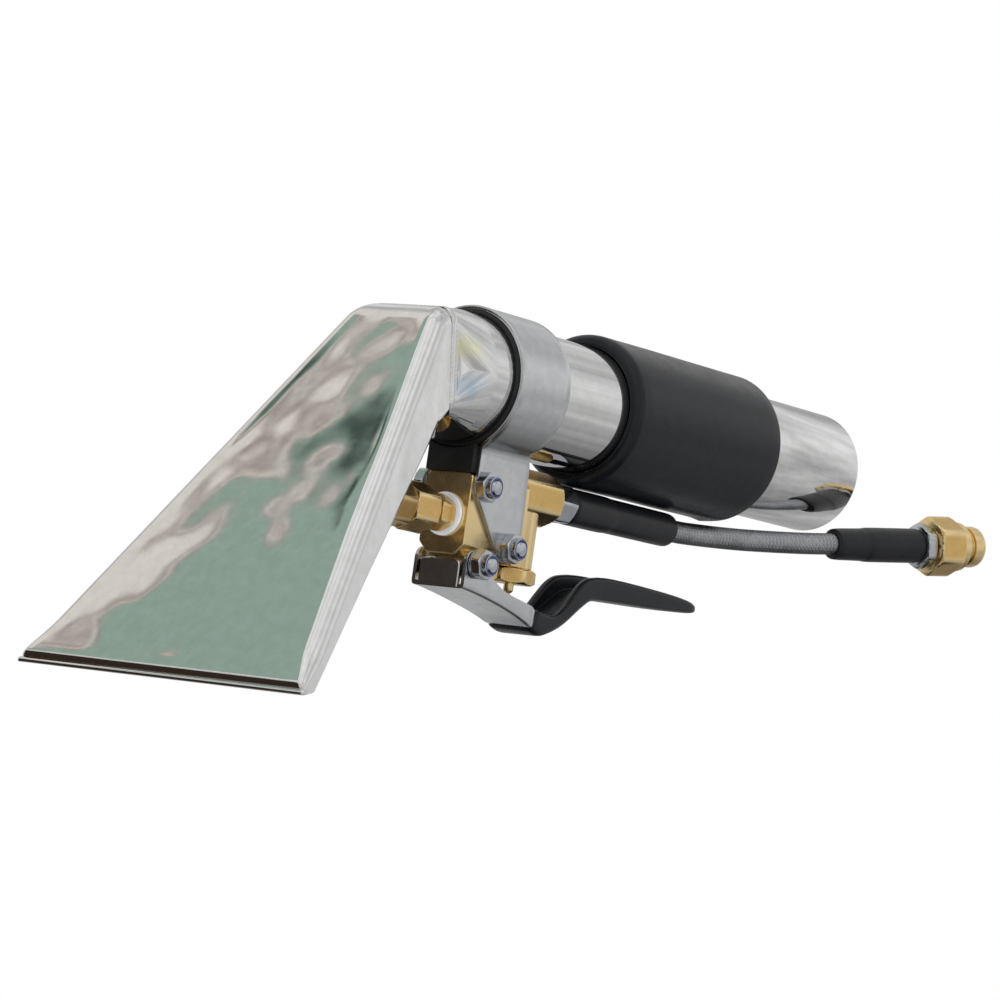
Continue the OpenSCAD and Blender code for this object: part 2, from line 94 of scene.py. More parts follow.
def newGroup(name, inputs, outputs):
    group = bpy.data.node_groups.new(name, "ShaderNodeTree")
    for label, kind, value in inputs:
        socket = group.interface.new_socket(label, in_out="INPUT", socket_type=kind)
        if value is not None:
            socket.default_value = value
    for label, kind in outputs:
        group.interface.new_socket(label, in_out="OUTPUT", socket_type=kind)
    nodes = group.nodes
    return group, nodes.new("NodeGroupInput"), nodes.new("NodeGroupOutput")


def addNode(tree, kind, **values):
    # a value is a socket to link, a number or colour for an input, or a setting of the node
    node = tree.nodes.new(kind)
    for name, value in values.items():
        if name not in node.inputs:
            setattr(node, name, value)
        elif isinstance(value, bpy.types.NodeSocket):
            tree.links.new(value, node.inputs[name])
        else:
            node.inputs[name].default_value = value
    return node


def stretchedNoise(tree, scaleSocket, stretch, detail, roughness=0.6):
    # object coordinates pulled out along the tube, then noise
    where = addNode(tree, "ShaderNodeTexCoord").outputs["Object"]
    turn = addNode(tree, "ShaderNodeMapping", vector_type="TEXTURE", Vector=where,
        Rotation=(0, math.atan2(-tubeAxis.z, tubeAxis.x), 0))
    pull = addNode(tree, "ShaderNodeMapping", Vector=turn.outputs["Vector"], Scale=stretch)
    grain = addNode(tree, "ShaderNodeTexNoise", Vector=pull.outputs["Vector"], Detail=detail, Roughness=roughness)
    if scaleSocket is not None:
        tree.links.new(scaleSocket, grain.inputs["Scale"])
    return grain


def mixRange(tree, source, low, high, fromLow=0.0, fromHigh=1.0):
    ends = {"From Min": fromLow, "From Max": fromHigh, "To Min": low, "To Max": high}
    return addNode(tree, "ShaderNodeMapRange", Value=source, **ends).outputs["Result"]


def mixNode(tree, factor, first, second):
    # a colour mix from sockets or plain colours
    mix = addNode(tree, "ShaderNodeMix", data_type="RGBA", Factor=factor)
    for socket, color in ((mix.inputs[6], first), (mix.inputs[7], second)):
        if isinstance(color, tuple):
            socket.default_value = (*color, 1)
        else:
            tree.links.new(color, socket)
    return mix.outputs[2]


def mathNode(tree, operation, first, second=None, third=None):
    # a Math node from sockets or plain numbers
    node = addNode(tree, "ShaderNodeMath", operation=operation)
    for index, value in enumerate((first, second, third)):
        if isinstance(value, (int, float)):
            node.inputs[index].default_value = value
        elif value is not None:
            tree.links.new(value, node.inputs[index])
    return node.outputs["Value"]


def rampOf(tree, factor, stops):
    ramp = addNode(tree, "ShaderNodeValToRGB", Fac=factor)
    elements = ramp.color_ramp.elements
    while len(elements) < len(stops):
        elements.new(0.5)
    for element, (place, color) in zip(elements, stops):
        element.position = place
        element.color = (*color, 1)
    return ramp.outputs["Color"]


def makeHandPolish():
    # cloudy haze, fine random scratches and the slow waves that a buffing wheel leaves
    group, inside, out = newGroup("handPolish", [
        ("Clear", "NodeSocketFloat", 0.05), ("Hazy", "NodeSocketFloat", 0.2),
        ("Wave Depth", "NodeSocketFloat", 0.0002), ("Wave Scale", "NodeSocketFloat", 30.0),
        ("Scratch Depth", "NodeSocketFloat", 0.00001),
    ], [("Roughness", "NodeSocketFloat"), ("Normal", "NodeSocketVector")])
    haze = stretchedNoise(group, None, (40, 60, 60), 6.0, 0.7)
    links = group.links
    roughness = mixRange(group, haze.outputs["Fac"], inside.outputs["Clear"], inside.outputs["Hazy"], 0.35, 0.8)
    links.new(roughness, out.inputs["Roughness"])
    waves = stretchedNoise(group, inside.outputs["Wave Scale"], (1, 1, 1), 1.5, 0.4)
    swell = addNode(group, "ShaderNodeBump", Strength=1.0, Distance=inside.outputs["Wave Depth"],
        Height=waves.outputs["Fac"])
    scratches = stretchedNoise(group, None, (150, 2600, 2600), 3.0, 0.8)
    fine = addNode(group, "ShaderNodeBump", Strength=1.0, Distance=inside.outputs["Scratch Depth"],
        Height=scratches.outputs["Fac"], Normal=swell.outputs["Normal"])
    links.new(fine.outputs["Normal"], out.inputs["Normal"])
    return group


def makeSurfaceGrain():
    # one noise that sets a finish's roughness, shade and a shallow bump
    group, inside, out = newGroup("surfaceGrain", [
        ("Scale", "NodeSocketFloat", 400.0), ("Low", "NodeSocketFloat", 0.3), ("High", "NodeSocketFloat", 0.5),
        ("Depth", "NodeSocketFloat", 0.00002),
    ], [("Roughness", "NodeSocketFloat"), ("Shade", "NodeSocketFloat"), ("Normal", "NodeSocketVector")])
    grain = stretchedNoise(group, inside.outputs["Scale"], (1, 1, 1), 5.0)
    patches = stretchedNoise(group, None, (55, 55, 55), 3.0)
    links = group.links
    roughness = mixRange(group, grain.outputs["Fac"], inside.outputs["Low"], inside.outputs["High"], 0.3, 0.7)
    links.new(roughness, out.inputs["Roughness"])
    links.new(mixRange(group, patches.outputs["Fac"], 0.0, 1.0, 0.3, 0.7), out.inputs["Shade"])
    bump = addNode(group, "ShaderNodeBump", Strength=1.0, Distance=inside.outputs["Depth"],
        Height=grain.outputs["Fac"])
    links.new(bump.outputs["Normal"], out.inputs["Normal"])
    return group


def makeEdgeWear():
    # 1 on the raised edges, 0 in the hollows and on the flats
    group, inside, out = newGroup("edgeWear", [("Reach", "NodeSocketFloat", 0.06)], [("Mask", "NodeSocketFloat")])
    flat = 0.5        # the pointiness of a surface that isn't bent
    worn = mathNode(group, "ADD", flat, inside.outputs["Reach"])
    pointiness = addNode(group, "ShaderNodeNewGeometry").outputs["Pointiness"]
    group.links.new(mixRange(group, pointiness, 0.0, 1.0, flat, worn), out.inputs["Mask"])
    return group


handPolish = makeHandPolish()
surfaceGrain = makeSurfaceGrain()
edgeWear = makeEdgeWear()
print("shared node groups made")

# ---- finishes ----


def startMaterial(name, **sockets):
    material = bpy.data.materials.new(name)
    material.use_nodes = True
    shader = material.node_tree.nodes["Principled BSDF"]
    for label, value in sockets.items():
        shader.inputs[label.replace("_", " ")].default_value = value
    return material, material.node_tree, shader


def placeGroup(tree, group, **values):
    node = tree.nodes.new("ShaderNodeGroup")
    node.node_tree = group
    for label, value in values.items():
        node.inputs[label.replace("_", " ")].default_value = value
    return node


def polishedMetal(name, tint, dull, polish):
    material, tree, shader = startMaterial(name, Metallic=1.0)
    surface = placeGroup(tree, handPolish, **polish)
    for socket in ("Roughness", "Normal"):
        tree.links.new(surface.outputs[socket], shader.inputs[socket])
    grain = placeGroup(tree, surfaceGrain, Scale=300.0)
    tree.links.new(mixNode(tree, grain.outputs["Shade"], tint, dull), shader.inputs["Base Color"])
    return material


def grainedMaterial(name, tint, dull, worn=None, reach=0.06, grain=None, **sockets):
    material, tree, shader = startMaterial(name, **sockets)
    surface = placeGroup(tree, surfaceGrain, **(grain or {}))
    for socket in ("Roughness", "Normal"):
        tree.links.new(surface.outputs[socket], shader.inputs[socket])
    color = mixNode(tree, surface.outputs["Shade"], tint, dull)
    if worn is not None:
        wear = placeGroup(tree, edgeWear, Reach=reach)
        color = mixNode(tree, wear.outputs["Mask"], color, worn)
    tree.links.new(color, shader.inputs["Base Color"])
    return material


finishes = {
    "mirror_steel": polishedMetal("mirrorSteel", (0.80, 0.80, 0.80), (0.72, 0.72, 0.71), dict(
        Clear=0.035, Hazy=0.07, Wave_Depth=0.00028, Wave_Scale=20.0, Scratch_Depth=0.0000005)),
    "satin_steel": polishedMetal("satinSteel", (0.66, 0.67, 0.68), (0.58, 0.59, 0.60), dict(
        Clear=0.20, Hazy=0.27, Wave_Depth=0.00005, Wave_Scale=40.0, Scratch_Depth=0.000001)),
    "zinc_steel": polishedMetal("zincPlate", (0.60, 0.62, 0.65), (0.50, 0.52, 0.56), dict(
        Clear=0.12, Hazy=0.24, Wave_Depth=0.0001, Wave_Scale=90.0, Scratch_Depth=0.000003)),
    "brass": grainedMaterial("machinedBrass", (0.80, 0.54, 0.20), (0.72, 0.47, 0.17), (0.93, 0.72, 0.38), 0.05,
        dict(Scale=350.0, Low=0.22, High=0.29, Depth=0.000003), Metallic=1.0),
    "aged_brass": grainedMaterial("agedBrass", (0.52, 0.33, 0.12), (0.42, 0.26, 0.09), (0.80, 0.58, 0.28), 0.05,
        dict(Scale=350.0, Low=0.26, High=0.34, Depth=0.000004), Metallic=1.0),
    "black_vinyl": grainedMaterial("dippedVinyl", (0.004, 0.0045, 0.0055), (0.006, 0.007, 0.009),
        grain=dict(Scale=160.0, Low=0.20, High=0.32, Depth=0.00002), Specular_IOR_Level=0.28),
    "black_sleeve": grainedMaterial("shrunkSleeve", (0.006, 0.0065, 0.0075), (0.009, 0.0095, 0.011),
        grain=dict(Scale=900.0, Low=0.30, High=0.42, Depth=0.00001), Specular_IOR_Level=0.3),
    "black_rubber": grainedMaterial("mattRubber", (0.006, 0.006, 0.006), (0.01, 0.01, 0.01),
        grain=dict(Scale=1200.0, Low=0.5, High=0.7, Depth=0.00002), Specular_IOR_Level=0.3),
    "white_ptfe": grainedMaterial("whitePtfe", (0.80, 0.82, 0.85), (0.74, 0.76, 0.80),
        grain=dict(Scale=800.0, Low=0.35, High=0.5, Depth=0.00002)),
    "blue_nylon": grainedMaterial("blueNylon", (0.02, 0.04, 0.13), (0.03, 0.06, 0.18),
        grain=dict(Scale=500.0, Low=0.25, High=0.4, Depth=0.00002)),
    "braid": grainedMaterial("braidWire", (0.44, 0.45, 0.47), (0.34, 0.35, 0.37), (0.62, 0.63, 0.65), 0.08,
        dict(Scale=2500.0, Low=0.26, High=0.42, Depth=0.00002), Metallic=1.0),
}
slotOf = {part["node"]: part["material_slot"] for part in frame["record"]["subparts"]}
bodyOf = {node: body for body, nodes in frame["record"]["behaviour"]["bodies"].items() for node in nodes}
for node, part in frame["nodes"].items():
    part.data.materials.clear()
    part.data.materials.append(finishes[slotOf[node]])
print("finishes made:", len(finishes))

# ---- mesh building ----


def addPiece(name, points, faces, nodes, smooth=35.0, modifiers=(), finish=None):
    # points are in the wand's millimetres, and nodes are the solids that the piece stands for
    mesh = bpy.data.meshes.new(name)
    mesh.from_pydata([toRow(p) for p in points], [], faces)
    return finishPiece(name, mesh, nodes, smooth, modifiers, finish)


def finishPiece(name, mesh, nodes, smooth, modifiers=(), finish=None):
    mesh.validate()
    shape = bmesh.new()
    shape.from_mesh(mesh)
    bmesh.ops.remove_doubles(shape, verts=shape.verts, dist=1e-6)
    bmesh.ops.recalc_face_normals(shape, faces=shape.faces)
    shape.to_mesh(mesh)
    shape.free()
    mesh.materials.clear()
    mesh.materials.append(finish or finishes[slotOf[nodes[0]]])
    piece = bpy.data.objects.new(name, mesh)
    scene.collection.objects.link(piece)
    mesh.set_sharp_from_angle(angle=math.radians(smooth))
    for kind, values in modifiers:
        modifier = piece.modifiers.new(kind.lower(), kind)
        for key, value in values.items():
            setattr(modifier, key, value)
    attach(piece, bodyOf[nodes[0]])
    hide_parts(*nodes)
    return piece


def loft(rings, closed=True, capFirst=False, capLast=False):
    # rings of equal length joined one to the next
    count = len(rings[0])
    points = [p for ring in rings for p in ring]
    faces = []
    span = count if closed else count - 1
    for i in range(len(rings) - 1):
        for j in range(span):
            k = (j + 1) % count
            faces.append((i * count + j, i * count + k, (i + 1) * count + k, (i + 1) * count + j))
    if capFirst:
        faces.append(tuple(range(count - 1, -1, -1)))
    if capLast:
        faces.append(tuple((len(rings) - 1) * count + j for j in range(count)))
    return points, faces


def lathe(profile, place=Matrix(), segments=96, across=None, turn=0.0, cornerRound=0.15):
    # profile is (distance along x of place, radius) all round a section; across cuts it to a hexagon
    # with a corner at turn. A section that starts and ends on the axis is a solid
    solid = profile[0][1] == 0 and profile[-1][1] == 0
    rings = []
    for along, radius in profile:
        ring = []
        for j in range(segments):
            angle = math.radians(turn) + 2 * math.pi * j / segments
            reach = radius
            if across is not None:
                local = (2 * math.pi * j / segments) % (math.pi / 3) - math.pi / 6
                corner = across / math.sqrt(3) - cornerRound
                reach = min(radius, corner, across / 2 / math.cos(local))
            ring.append(place @ Vector((along, reach * math.cos(angle), reach * math.sin(angle))))
        rings.append(ring)
    if not solid:
        rings.append(rings[0])
    return loft(rings)


def join(*shapes):
    points, faces = [], []
    for morePoints, moreFaces in shapes:
        faces += [tuple(i + len(points) for i in face) for face in moreFaces]
        points += list(morePoints)
    return points, faces


def roundedOutline(corners, radii, steps=4):
    # a closed outline with each corner rounded by its own radius
    ring = []
    count = len(corners)
    for i, radius in enumerate(radii):
        here, before, after = (Vector(corners[k % count]) for k in (i, i - 1, i + 1))
        back, ahead = before - here, after - here
        reach = min(radius, back.length / 2.05, ahead.length / 2.05)
        first, last = here + back.normalized() * reach, here + ahead.normalized() * reach
        for k in range(steps + 1):
            t = k / steps
            ring.append(tuple((1 - t) ** 2 * first + 2 * t * (1 - t) * here + t * t * last))
    return ring


def onAxis(y, z):
    return Matrix.Translation((0, y, z))


def arcPoints(centre, radius, start, end, count):
    cx, cy = centre
    return [(cx + radius * math.cos(math.radians(start + (end - start) * i / count)),
             cy + radius * math.sin(math.radians(start + (end - start) * i / count))) for i in range(count + 1)]


def splinePoint(a, b, c, d, t):
    return tuple(0.5 * (2 * q + (r - p) * t + (2 * p - 5 * q + 4 * r - s) * t * t + (3 * q - p - 3 * r + s) * t ** 3)
                 for p, q, r, s in zip(a, b, c, d))


def smoothLine(points, steps):
    line = []
    for i in range(len(points) - 1):
        a, d = points[max(i - 1, 0)], points[min(i + 2, len(points) - 1)]
        line += [splinePoint(a, points[i], points[i + 1], d, k / steps) for k in range(steps)]
    return line + [tuple(points[-1])]


def lookUp(line, x):
    # height of a line of (x, height) points at x
    for (x0, h0), (x1, h1) in zip(line, line[1:]):
        if x <= x1:
            return h0 + (h1 - h0) * max(0.0, (x - x0) / max(x1 - x0, 1e-9))
    return line[-1][1]


def softened(node, width, name=None, angle=30.0, segments=2, smooth=40.0):
    # a copy of a solid with its machined edges broken
    shape = bmesh.new()
    shape.from_mesh(frame["nodes"][node].data)
    bmesh.ops.remove_doubles(shape, verts=shape.verts, dist=2e-6)
    bmesh.ops.dissolve_limit(shape, angle_limit=math.radians(0.8), verts=shape.verts, edges=shape.edges)
    edges = [e for e in shape.edges if len(e.link_faces) == 2 and e.calc_face_angle() > math.radians(angle)]
    bmesh.ops.bevel(shape, geom=edges, offset=width * mm, offset_type="OFFSET", segments=segments,
                    profile=0.5, affect="EDGES", clamp_overlap=True)
    mesh = bpy.data.meshes.new(name or node)
    shape.to_mesh(mesh)
    shape.free()
    return finishPiece(name or node + "Soft", mesh, [node], smooth)


def smoothStep(low, high, x):
    t = min(1.0, max(0.0, (x - low) / (high - low)))
    return t * t * (3 - 2 * t)


# ---- the hose comes first, because its route has to be the solid's own ----

hoseSpec = dict(
    route=[
        (60, 0, -29.2), (71, 0, -29.2), (82, 0, -29.2), (93, 0, -29.2), (104, 0, -29.2), (113, 0, -29.1),
        (121, -0.1, -28.9),
        (130, -0.8, -28.4), (139, -1.9, -27.8), (149, -3.7, -27), (158, -5.9, -26.1), (167, -8.4, -25.1),
        (176, -11.2, -24), (185.3, -14, -22.7), (195, -16.8, -21.4), (205, -19.6, -20), (216, -22.7, -18.5),
    ],
    radius=3.5,
    strands=16,        # carriers each way round
    pitch=24.0,        # length of one turn of a carrier
    bare=(106, 192),   # stretch of x that isn't under a sleeve
    lift=0.13,
)


def makeHoseCore(spec):
    data = bpy.data.curves.new("hoseCore", "CURVE")
    data.dimensions = "3D"
    data.bevel_depth = (spec["radius"] - 0.45) * mm
    data.bevel_resolution = 6
    data.use_fill_caps = True
    line = [toRow(p) for p in spec["route"]]
    spline = data.splines.new("POLY")
    spline.points.add(len(line) - 1)
    for point, place in zip(spline.points, line):
        point.co = (*place, 1)
    data.materials.append(finishes["braid"])
    core = bpy.data.objects.new("hoseCore", data)
    scene.collection.objects.link(core)
    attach(core, "frame")
    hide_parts("hose_braid", "hose_liner")
    length = sum((b - a).length for a, b in zip(line, line[1:]))
    return core, length


def makeHoseStrands(spec):
    line = [Vector(p) for p in smoothLine(spec["route"], 40)]
    line = [p for p in line if spec["bare"][0] <= p.x <= spec["bare"][1]]
    travelled = [0.0]
    for a, b in zip(line, line[1:]):
        travelled.append(travelled[-1] + (b - a).length)
    points, faces = [], []
    share = 2 * math.pi / spec["strands"]
    crossing = spec["pitch"] / (2 * spec["strands"])
    for way in (1, -1):
        for i in range(spec["strands"]):
            rings = []
            for k, place in enumerate(line):
                ahead = (line[min(k + 1, len(line) - 1)] - line[max(k - 1, 0)]).normalized()
                side = Vector((0, 0, 1)).cross(ahead).normalized()
                up = ahead.cross(side)
                angle = way * 2 * math.pi * travelled[k] / spec["pitch"] + share * i
                weave = way * spec["lift"] * math.cos(math.pi * travelled[k] / crossing)
                ring = []
                for across, drop in ((-0.44, 0.14), (-0.22, 0.02), (0, 0.05), (0.22, 0.02), (0.44, 0.14)):
                    reach = spec["radius"] - spec["lift"] + weave - drop
                    here = angle + share * across
                    ring.append(place + reach * (math.cos(here) * side + math.sin(here) * up))
                rings.append(ring)
            morePoints, moreFaces = loft(rings, closed=False)
            points, faces = join((points, faces), (morePoints, moreFaces))
    return addPiece("hoseStrands", points, faces, ["hose_braid"], smooth=60)


hoseCore, hoseLength = makeHoseCore(hoseSpec)
hoseStrands = makeHoseStrands(hoseSpec)
print("hose made, length", round(hoseLength, 4))

# ---- pieces on the hose's two ends ----

rearSpec = dict(start=(185.3, -14, -22.7), yaw=-15.8, pitch=7.5)
rearPlace = (Matrix.Translation(rearSpec["start"]) @ Matrix.Rotation(math.radians(rearSpec["yaw"]), 4, "Z")
    @ Matrix.Rotation(math.radians(-rearSpec["pitch"]), 4, "Y"))
hoseAxis = onAxis(0, -29.2)
jetAxis = onAxis(0, -39.6)
hexTurn = 30          # a corner points straight up or down


def sleeveProfile(first, last, inside, radii):
    # shrunk tubing: it takes the shape of what is under it, and its ends are rolled a little
    outer = [(first + 0.5, radii[0][1] - 0.25)] + [(x, r) for x, r in radii] + [(last - 0.3, radii[-1][1] - 0.2)]
    return [(first, inside), (first, radii[0][1] - 0.6)] + outer + [(last, radii[-1][1] - 0.6), (last, inside)]


def shrunkRadii(stations, steps=5):
    return [(p[0], p[1]) for p in smoothLine(stations, steps)]


frontSleeve = addPiece("frontSleeve", *lathe(sleeveProfile(57.6, 112, 3.4, shrunkRadii(
    [(58.4, 5.6), (66, 5.6), (76, 5.55), (79.5, 5.35), (83, 5.3), (97, 5.25), (109, 5.2), (111.3, 5.1)])), hoseAxis),
    ["front_sleeve"], 50)
frontFerrule = addPiece("frontFerrule", *lathe(
    [(57.3, 3.5), (57.3, 4.4), (57.5, 4.6), (78, 4.6), (78, 3.5)], hoseAxis), ["front_ferrule"])
rearSleeveRadii = shrunkRadii([(0.6, 4.9), (3, 5.1), (9, 5.2), (12.5, 5.3), (15, 5.55), (24, 5.6), (35.4, 5.6)])
rearSleeve = addPiece("rearSleeve", *lathe(sleeveProfile(0, 36.4, 3.4, rearSleeveRadii), rearPlace),
    ["rear_sleeve"], 50)


def hexProfile(first, last, across, chamfer, inside):
    # bore, faces and the turned chamfers of a hexagon
    corner = across / math.sqrt(3)
    low = across / 2 * 0.965
    rise = [(chamfer * k / 4, low + (corner - low) * k / 4) for k in range(5)]
    front = [(first + along, radius) for along, radius in rise]
    back = [(last - along, radius) for along, radius in reversed(rise)]
    return [(first, inside)] + front + back + [(last, inside)]


rearFerrule = addPiece("rearFerrule", *join(
    lathe([(14, 3.5), (14, 4.6), (37, 4.6), (37, 3.5)], rearPlace),
    lathe(hexProfile(36.5, 40.4, 13.16, 0.6, 3.5), rearPlace, across=13.16, turn=hexTurn)),
    ["rear_ferrule"])
couplingNut = addPiece("couplingNut", *lathe(hexProfile(41, 51.5, 17.32, 1.0, 5.2), rearPlace, across=17.32,
    turn=hexTurn, cornerRound=0.25), ["coupling_nut"])
noseProfile = [(41, 0), (41, 5.1), (51.5, 5.1), (51.5, 7.6), (51.8, 8), (54.3, 8), (55, 7.4), (55, 6.7), (55.7, 6.7),
    (55.9, 6.1), (56.6, 5.9), (57.3, 6.1), (57.5, 6.7), (60.6, 6.7), (61.6, 6.5), (62.3, 5.9), (62.8, 5.0),
    (62.8, 2.6), (62.3, 2.2), (52, 2.2), (52, 0)]
quickPlug = addPiece("quickPlug", *lathe(noseProfile, rearPlace), ["quick_plug"])
plugSeal = addPiece("plugSeal", *lathe([(40.4, 2.2), (40.4, 5.6), (41, 5.6), (41, 2.2)], rearPlace), ["plug_seal"])

print("hose ends made")

# ---- vacuum head ----

headSpec = dict(
    faceTop=(-36.3, 14.1), faceTilt=35.4, faceLength=137.4, topWidth=34.4, lipWidth=101.6,
    neckX=-28.5, neckHigh=16.3, neckLow=-14.0, topBend=11.8, sideBend=5.0, sheet=1.2, sideDraft=0.126,
    lipDepth=(7.6, -0.5), plateTop=(-33.5, -15.0), dent=0.3, sideDent=0.35, curl=2.4,
    barRadius=0.95, barSet=(1.9, -0.5),
)
faceAlong = Vector((-math.sin(math.radians(headSpec["faceTilt"])), -math.cos(math.radians(headSpec["faceTilt"]))))
faceInward = Vector((-faceAlong.y, faceAlong.x))
faceTop = Vector(headSpec["faceTop"])
lipFront = faceTop + headSpec["faceLength"] * faceAlong
lipBack = lipFront + Vector(headSpec["lipDepth"])


def headHalf(point, spec=headSpec):
    # half width of the head at a point (x, z) of its side walls, which lean in behind the face
    offset = Vector(point) - faceTop
    widening = (spec["lipWidth"] - spec["topWidth"]) * offset.dot(faceAlong) / spec["faceLength"]
    return (spec["topWidth"] + widening) / 2 - spec["sideDraft"] * offset.dot(faceInward)


def headProfile(spec=headSpec):
    # (place, inward normal) up the face, round the top bend and on to the neck
    turn = math.radians(90 - spec["faceTilt"])
    corner = faceTop + faceAlong * ((spec["neckHigh"] - faceTop.y) / faceAlong.y)
    start = spec["topBend"] * math.tan(turn / 2)
    centre = Vector((corner.x + start, spec["neckHigh"] - spec["topBend"]))
    faceEnd = corner + faceAlong * start
    line = []
    faceStations = 44
    for k in range(8):        # the sheet curls in along the lip
        angle = math.radians(70 * (1 - k / 8))
        inward = math.cos(angle) * faceInward - math.sin(angle) * faceAlong
        line.append((lipFront + spec["curl"] * (faceInward - faceAlong - inward), faceInward))
    curlEnd = lipFront - spec["curl"] * faceAlong
    for k in range(faceStations):
        line.append((curlEnd.lerp(faceEnd, k / faceStations), faceInward))
    for k in range(13):
        angle = turn * (1 - k / 12)
        out = Vector((-math.sin(angle), math.cos(angle)))
        line.append((centre + spec["topBend"] * out, -out))
    for k in range(1, 5):
        line.append((Vector((centre.x + (spec["neckX"] - centre.x) * k / 4, spec["neckHigh"])), Vector((0, -1))))
    return line


def headBackEdge(count, arcStart, spec=headSpec):
    # matching points down the rear edge of a side wall
    plateTop = Vector(spec["plateTop"])
    weldLow = Vector((spec["neckX"], spec["neckLow"]))
    weldHigh = Vector((spec["neckX"], spec["neckHigh"] - spec["sideBend"] - 0.2))
    edge = []
    for k in range(count):
        if k < arcStart:
            edge.append(lipBack.lerp(plateTop, k / arcStart))
        else:
            edge.append(weldLow.lerp(weldHigh, (k - arcStart) / (count - 1 - arcStart)))
    return edge


def makeHeadPan(spec=headSpec):
    profile = headProfile()
    backEdge = headBackEdge(len(profile), 52)
    steps, faceSteps, wallSteps = 12, 24, 12
    rings = []
    for (place, inward), back in zip(profile, backEdge):
        half = []        # from the middle of the face out to the rear edge of one side wall
        bend = spec["sideBend"] * (0.5 + 0.5 * smoothStep(0, 14, (lipFront - place).length))
        flat = headHalf(place) - bend
        for k in range(faceSteps):
            half.append((place, flat * k / faceSteps))
        for k in range(steps + 1):
            angle = math.pi / 2 * k / steps
            spot = place + inward * bend * (1 - math.cos(angle))
            half.append((spot, headHalf(spot) - bend * (1 - math.sin(angle))))
        wallTop = place + inward * bend
        for k in range(1, wallSteps + 1):
            spot = wallTop.lerp(back, k / wallSteps)
            half.append((spot, headHalf(spot)))
        near = [(spot.x, -y, spot.y) for spot, y in reversed(half)]
        far = [(spot.x, y, spot.y) for spot, y in half[1:]]
        rings.append(near + far)
    points, faces = loft(rings, closed=False)
    dented = []
    for point in points:
        wave = noise.noise(Vector(point) / 34.0) + 0.35 * noise.noise(Vector(point) / 11.0)
        fade = smoothStep(0, 9, (Vector((point[0], point[2])) - faceTop).dot(faceAlong) * -1 + spec["faceLength"])
        shift = spec["dent"] * wave * fade * smoothStep(0, 6, headHalf((point[0], point[2])) - abs(point[1]) - 2)
        behind = (Vector((point[0], point[2])) - faceTop).dot(faceInward)
        sway = spec["sideDent"] * noise.noise(Vector((point[0] / 17, 3.0, point[2] / 23))) * smoothStep(4, 12, behind)
        sway *= smoothStep(0, 8, spec["neckX"] - point[0])
        y = point[1] - math.copysign(max(sway, 0.0), point[1])
        dented.append((point[0] + faceInward.x * shift, y, point[2] + faceInward.y * shift))
    return addPiece("headPan", dented, faces, ["head_front_pan"], 40, [
        ("SOLIDIFY", dict(thickness=spec["sheet"] * mm, offset=-1)),
        ("BEVEL", dict(width=0.15 * mm, segments=2, limit_method="ANGLE", angle_limit=math.radians(60))),
    ])


def makeLipBar(spec=headSpec):
    # the hem that closes the front lip, a round bar behind the curled edge
    along, drop = spec["barSet"]
    centre = lipFront + along * faceInward + drop * Vector((0, 1))
    radius, half = spec["barRadius"], spec["lipWidth"] / 2
    rings = []
    ends = ((-half, 0.3), (-half + 0.3, 0.85), (-half + 0.8, 1.0), (half - 0.8, 1.0), (half - 0.3, 0.85), (half, 0.3))
    for y, share in ends:
        rings.append([(centre.x + radius * share * math.cos(math.radians(15 * k)), y,
            centre.y + radius * share * math.sin(math.radians(15 * k))) for k in range(24)])
    return addPiece("lipBar", *loft(rings, capFirst=True, capLast=True), ["head_front_pan"], 50)


makeHeadPan()
makeLipBar()
softened("head_back_plate", 0.25)
print("head made")

# ---- neck ----

neckSpec = dict(roundX=-9.0, endX=4.0, cornerRound=4.0, radius=19.05, wall=1.65, arcSteps=12, flatSteps=40,
    stations=76, bead=0.4, beadHalf=1.2, ripple=0.04, rippleLength=1.4,
    press=[(-27.6, 10.4), (-26.3, -10.2), (-11.2, 0.6)], pressDepth=1.2, pressEdge=4.6,
    tintCentre=(-21.5, 15.5, 0.6), tintReach=(4.0, 11.0), tintRagged=0.008, tintShare=0.75, tintSpan=(-7.0, 6.0),
    tintLow=(0.30, 0.50, 0.72), tintHigh=(0.86, 0.83, 0.42))


def neckRing(x, grow=0.0, spec=neckSpec, head=headSpec):
    # a rectangle and a circle, each in its share, so the flats narrow to a point where the tube is round
    t = min(1.0, (x - head["neckX"]) / (spec["roundX"] - head["neckX"]))
    weldMiddle = (head["neckHigh"] + head["neckLow"]) / 2
    weldHalf = headHalf((head["neckX"], weldMiddle))
    rounding = (1 - t) * spec["cornerRound"] + t * spec["radius"]
    halfY = (1 - t) * (weldHalf - spec["cornerRound"])
    halfZ = (1 - t) * ((head["neckHigh"] - head["neckLow"]) / 2 - spec["cornerRound"])
    middle = (1 - t) * weldMiddle
    ring = []
    for corner in range(4):
        signY, signZ = ((1, 1), (-1, 1), (-1, -1), (1, -1))[corner]
        for k in range(spec["arcSteps"] + 1):
            angle = math.pi / 2 * (corner + k / spec["arcSteps"])
            reach = rounding + grow
            ring.append((signY * halfY + reach * math.cos(angle), middle + signZ * halfZ + reach * math.sin(angle)))
        nextY, nextZ = ((-1, 1), (-1, -1), (1, -1), (1, 1))[corner]
        last = Vector(ring[-1])
        angle = math.pi / 2 * (corner + 1)
        ahead = Vector((nextY * halfY + reach * math.cos(angle), middle + nextZ * halfZ + reach * math.sin(angle)))
        ring += [tuple(last.lerp(ahead, k / spec["flatSteps"])) for k in range(1, spec["flatSteps"])]
    leaning = []
    for y, z in ring:
        lean = (1 - t) * (headHalf((head["neckX"], z)) / weldHalf - 1)
        leaning.append((x, y * (1 + lean), z))
    return leaning


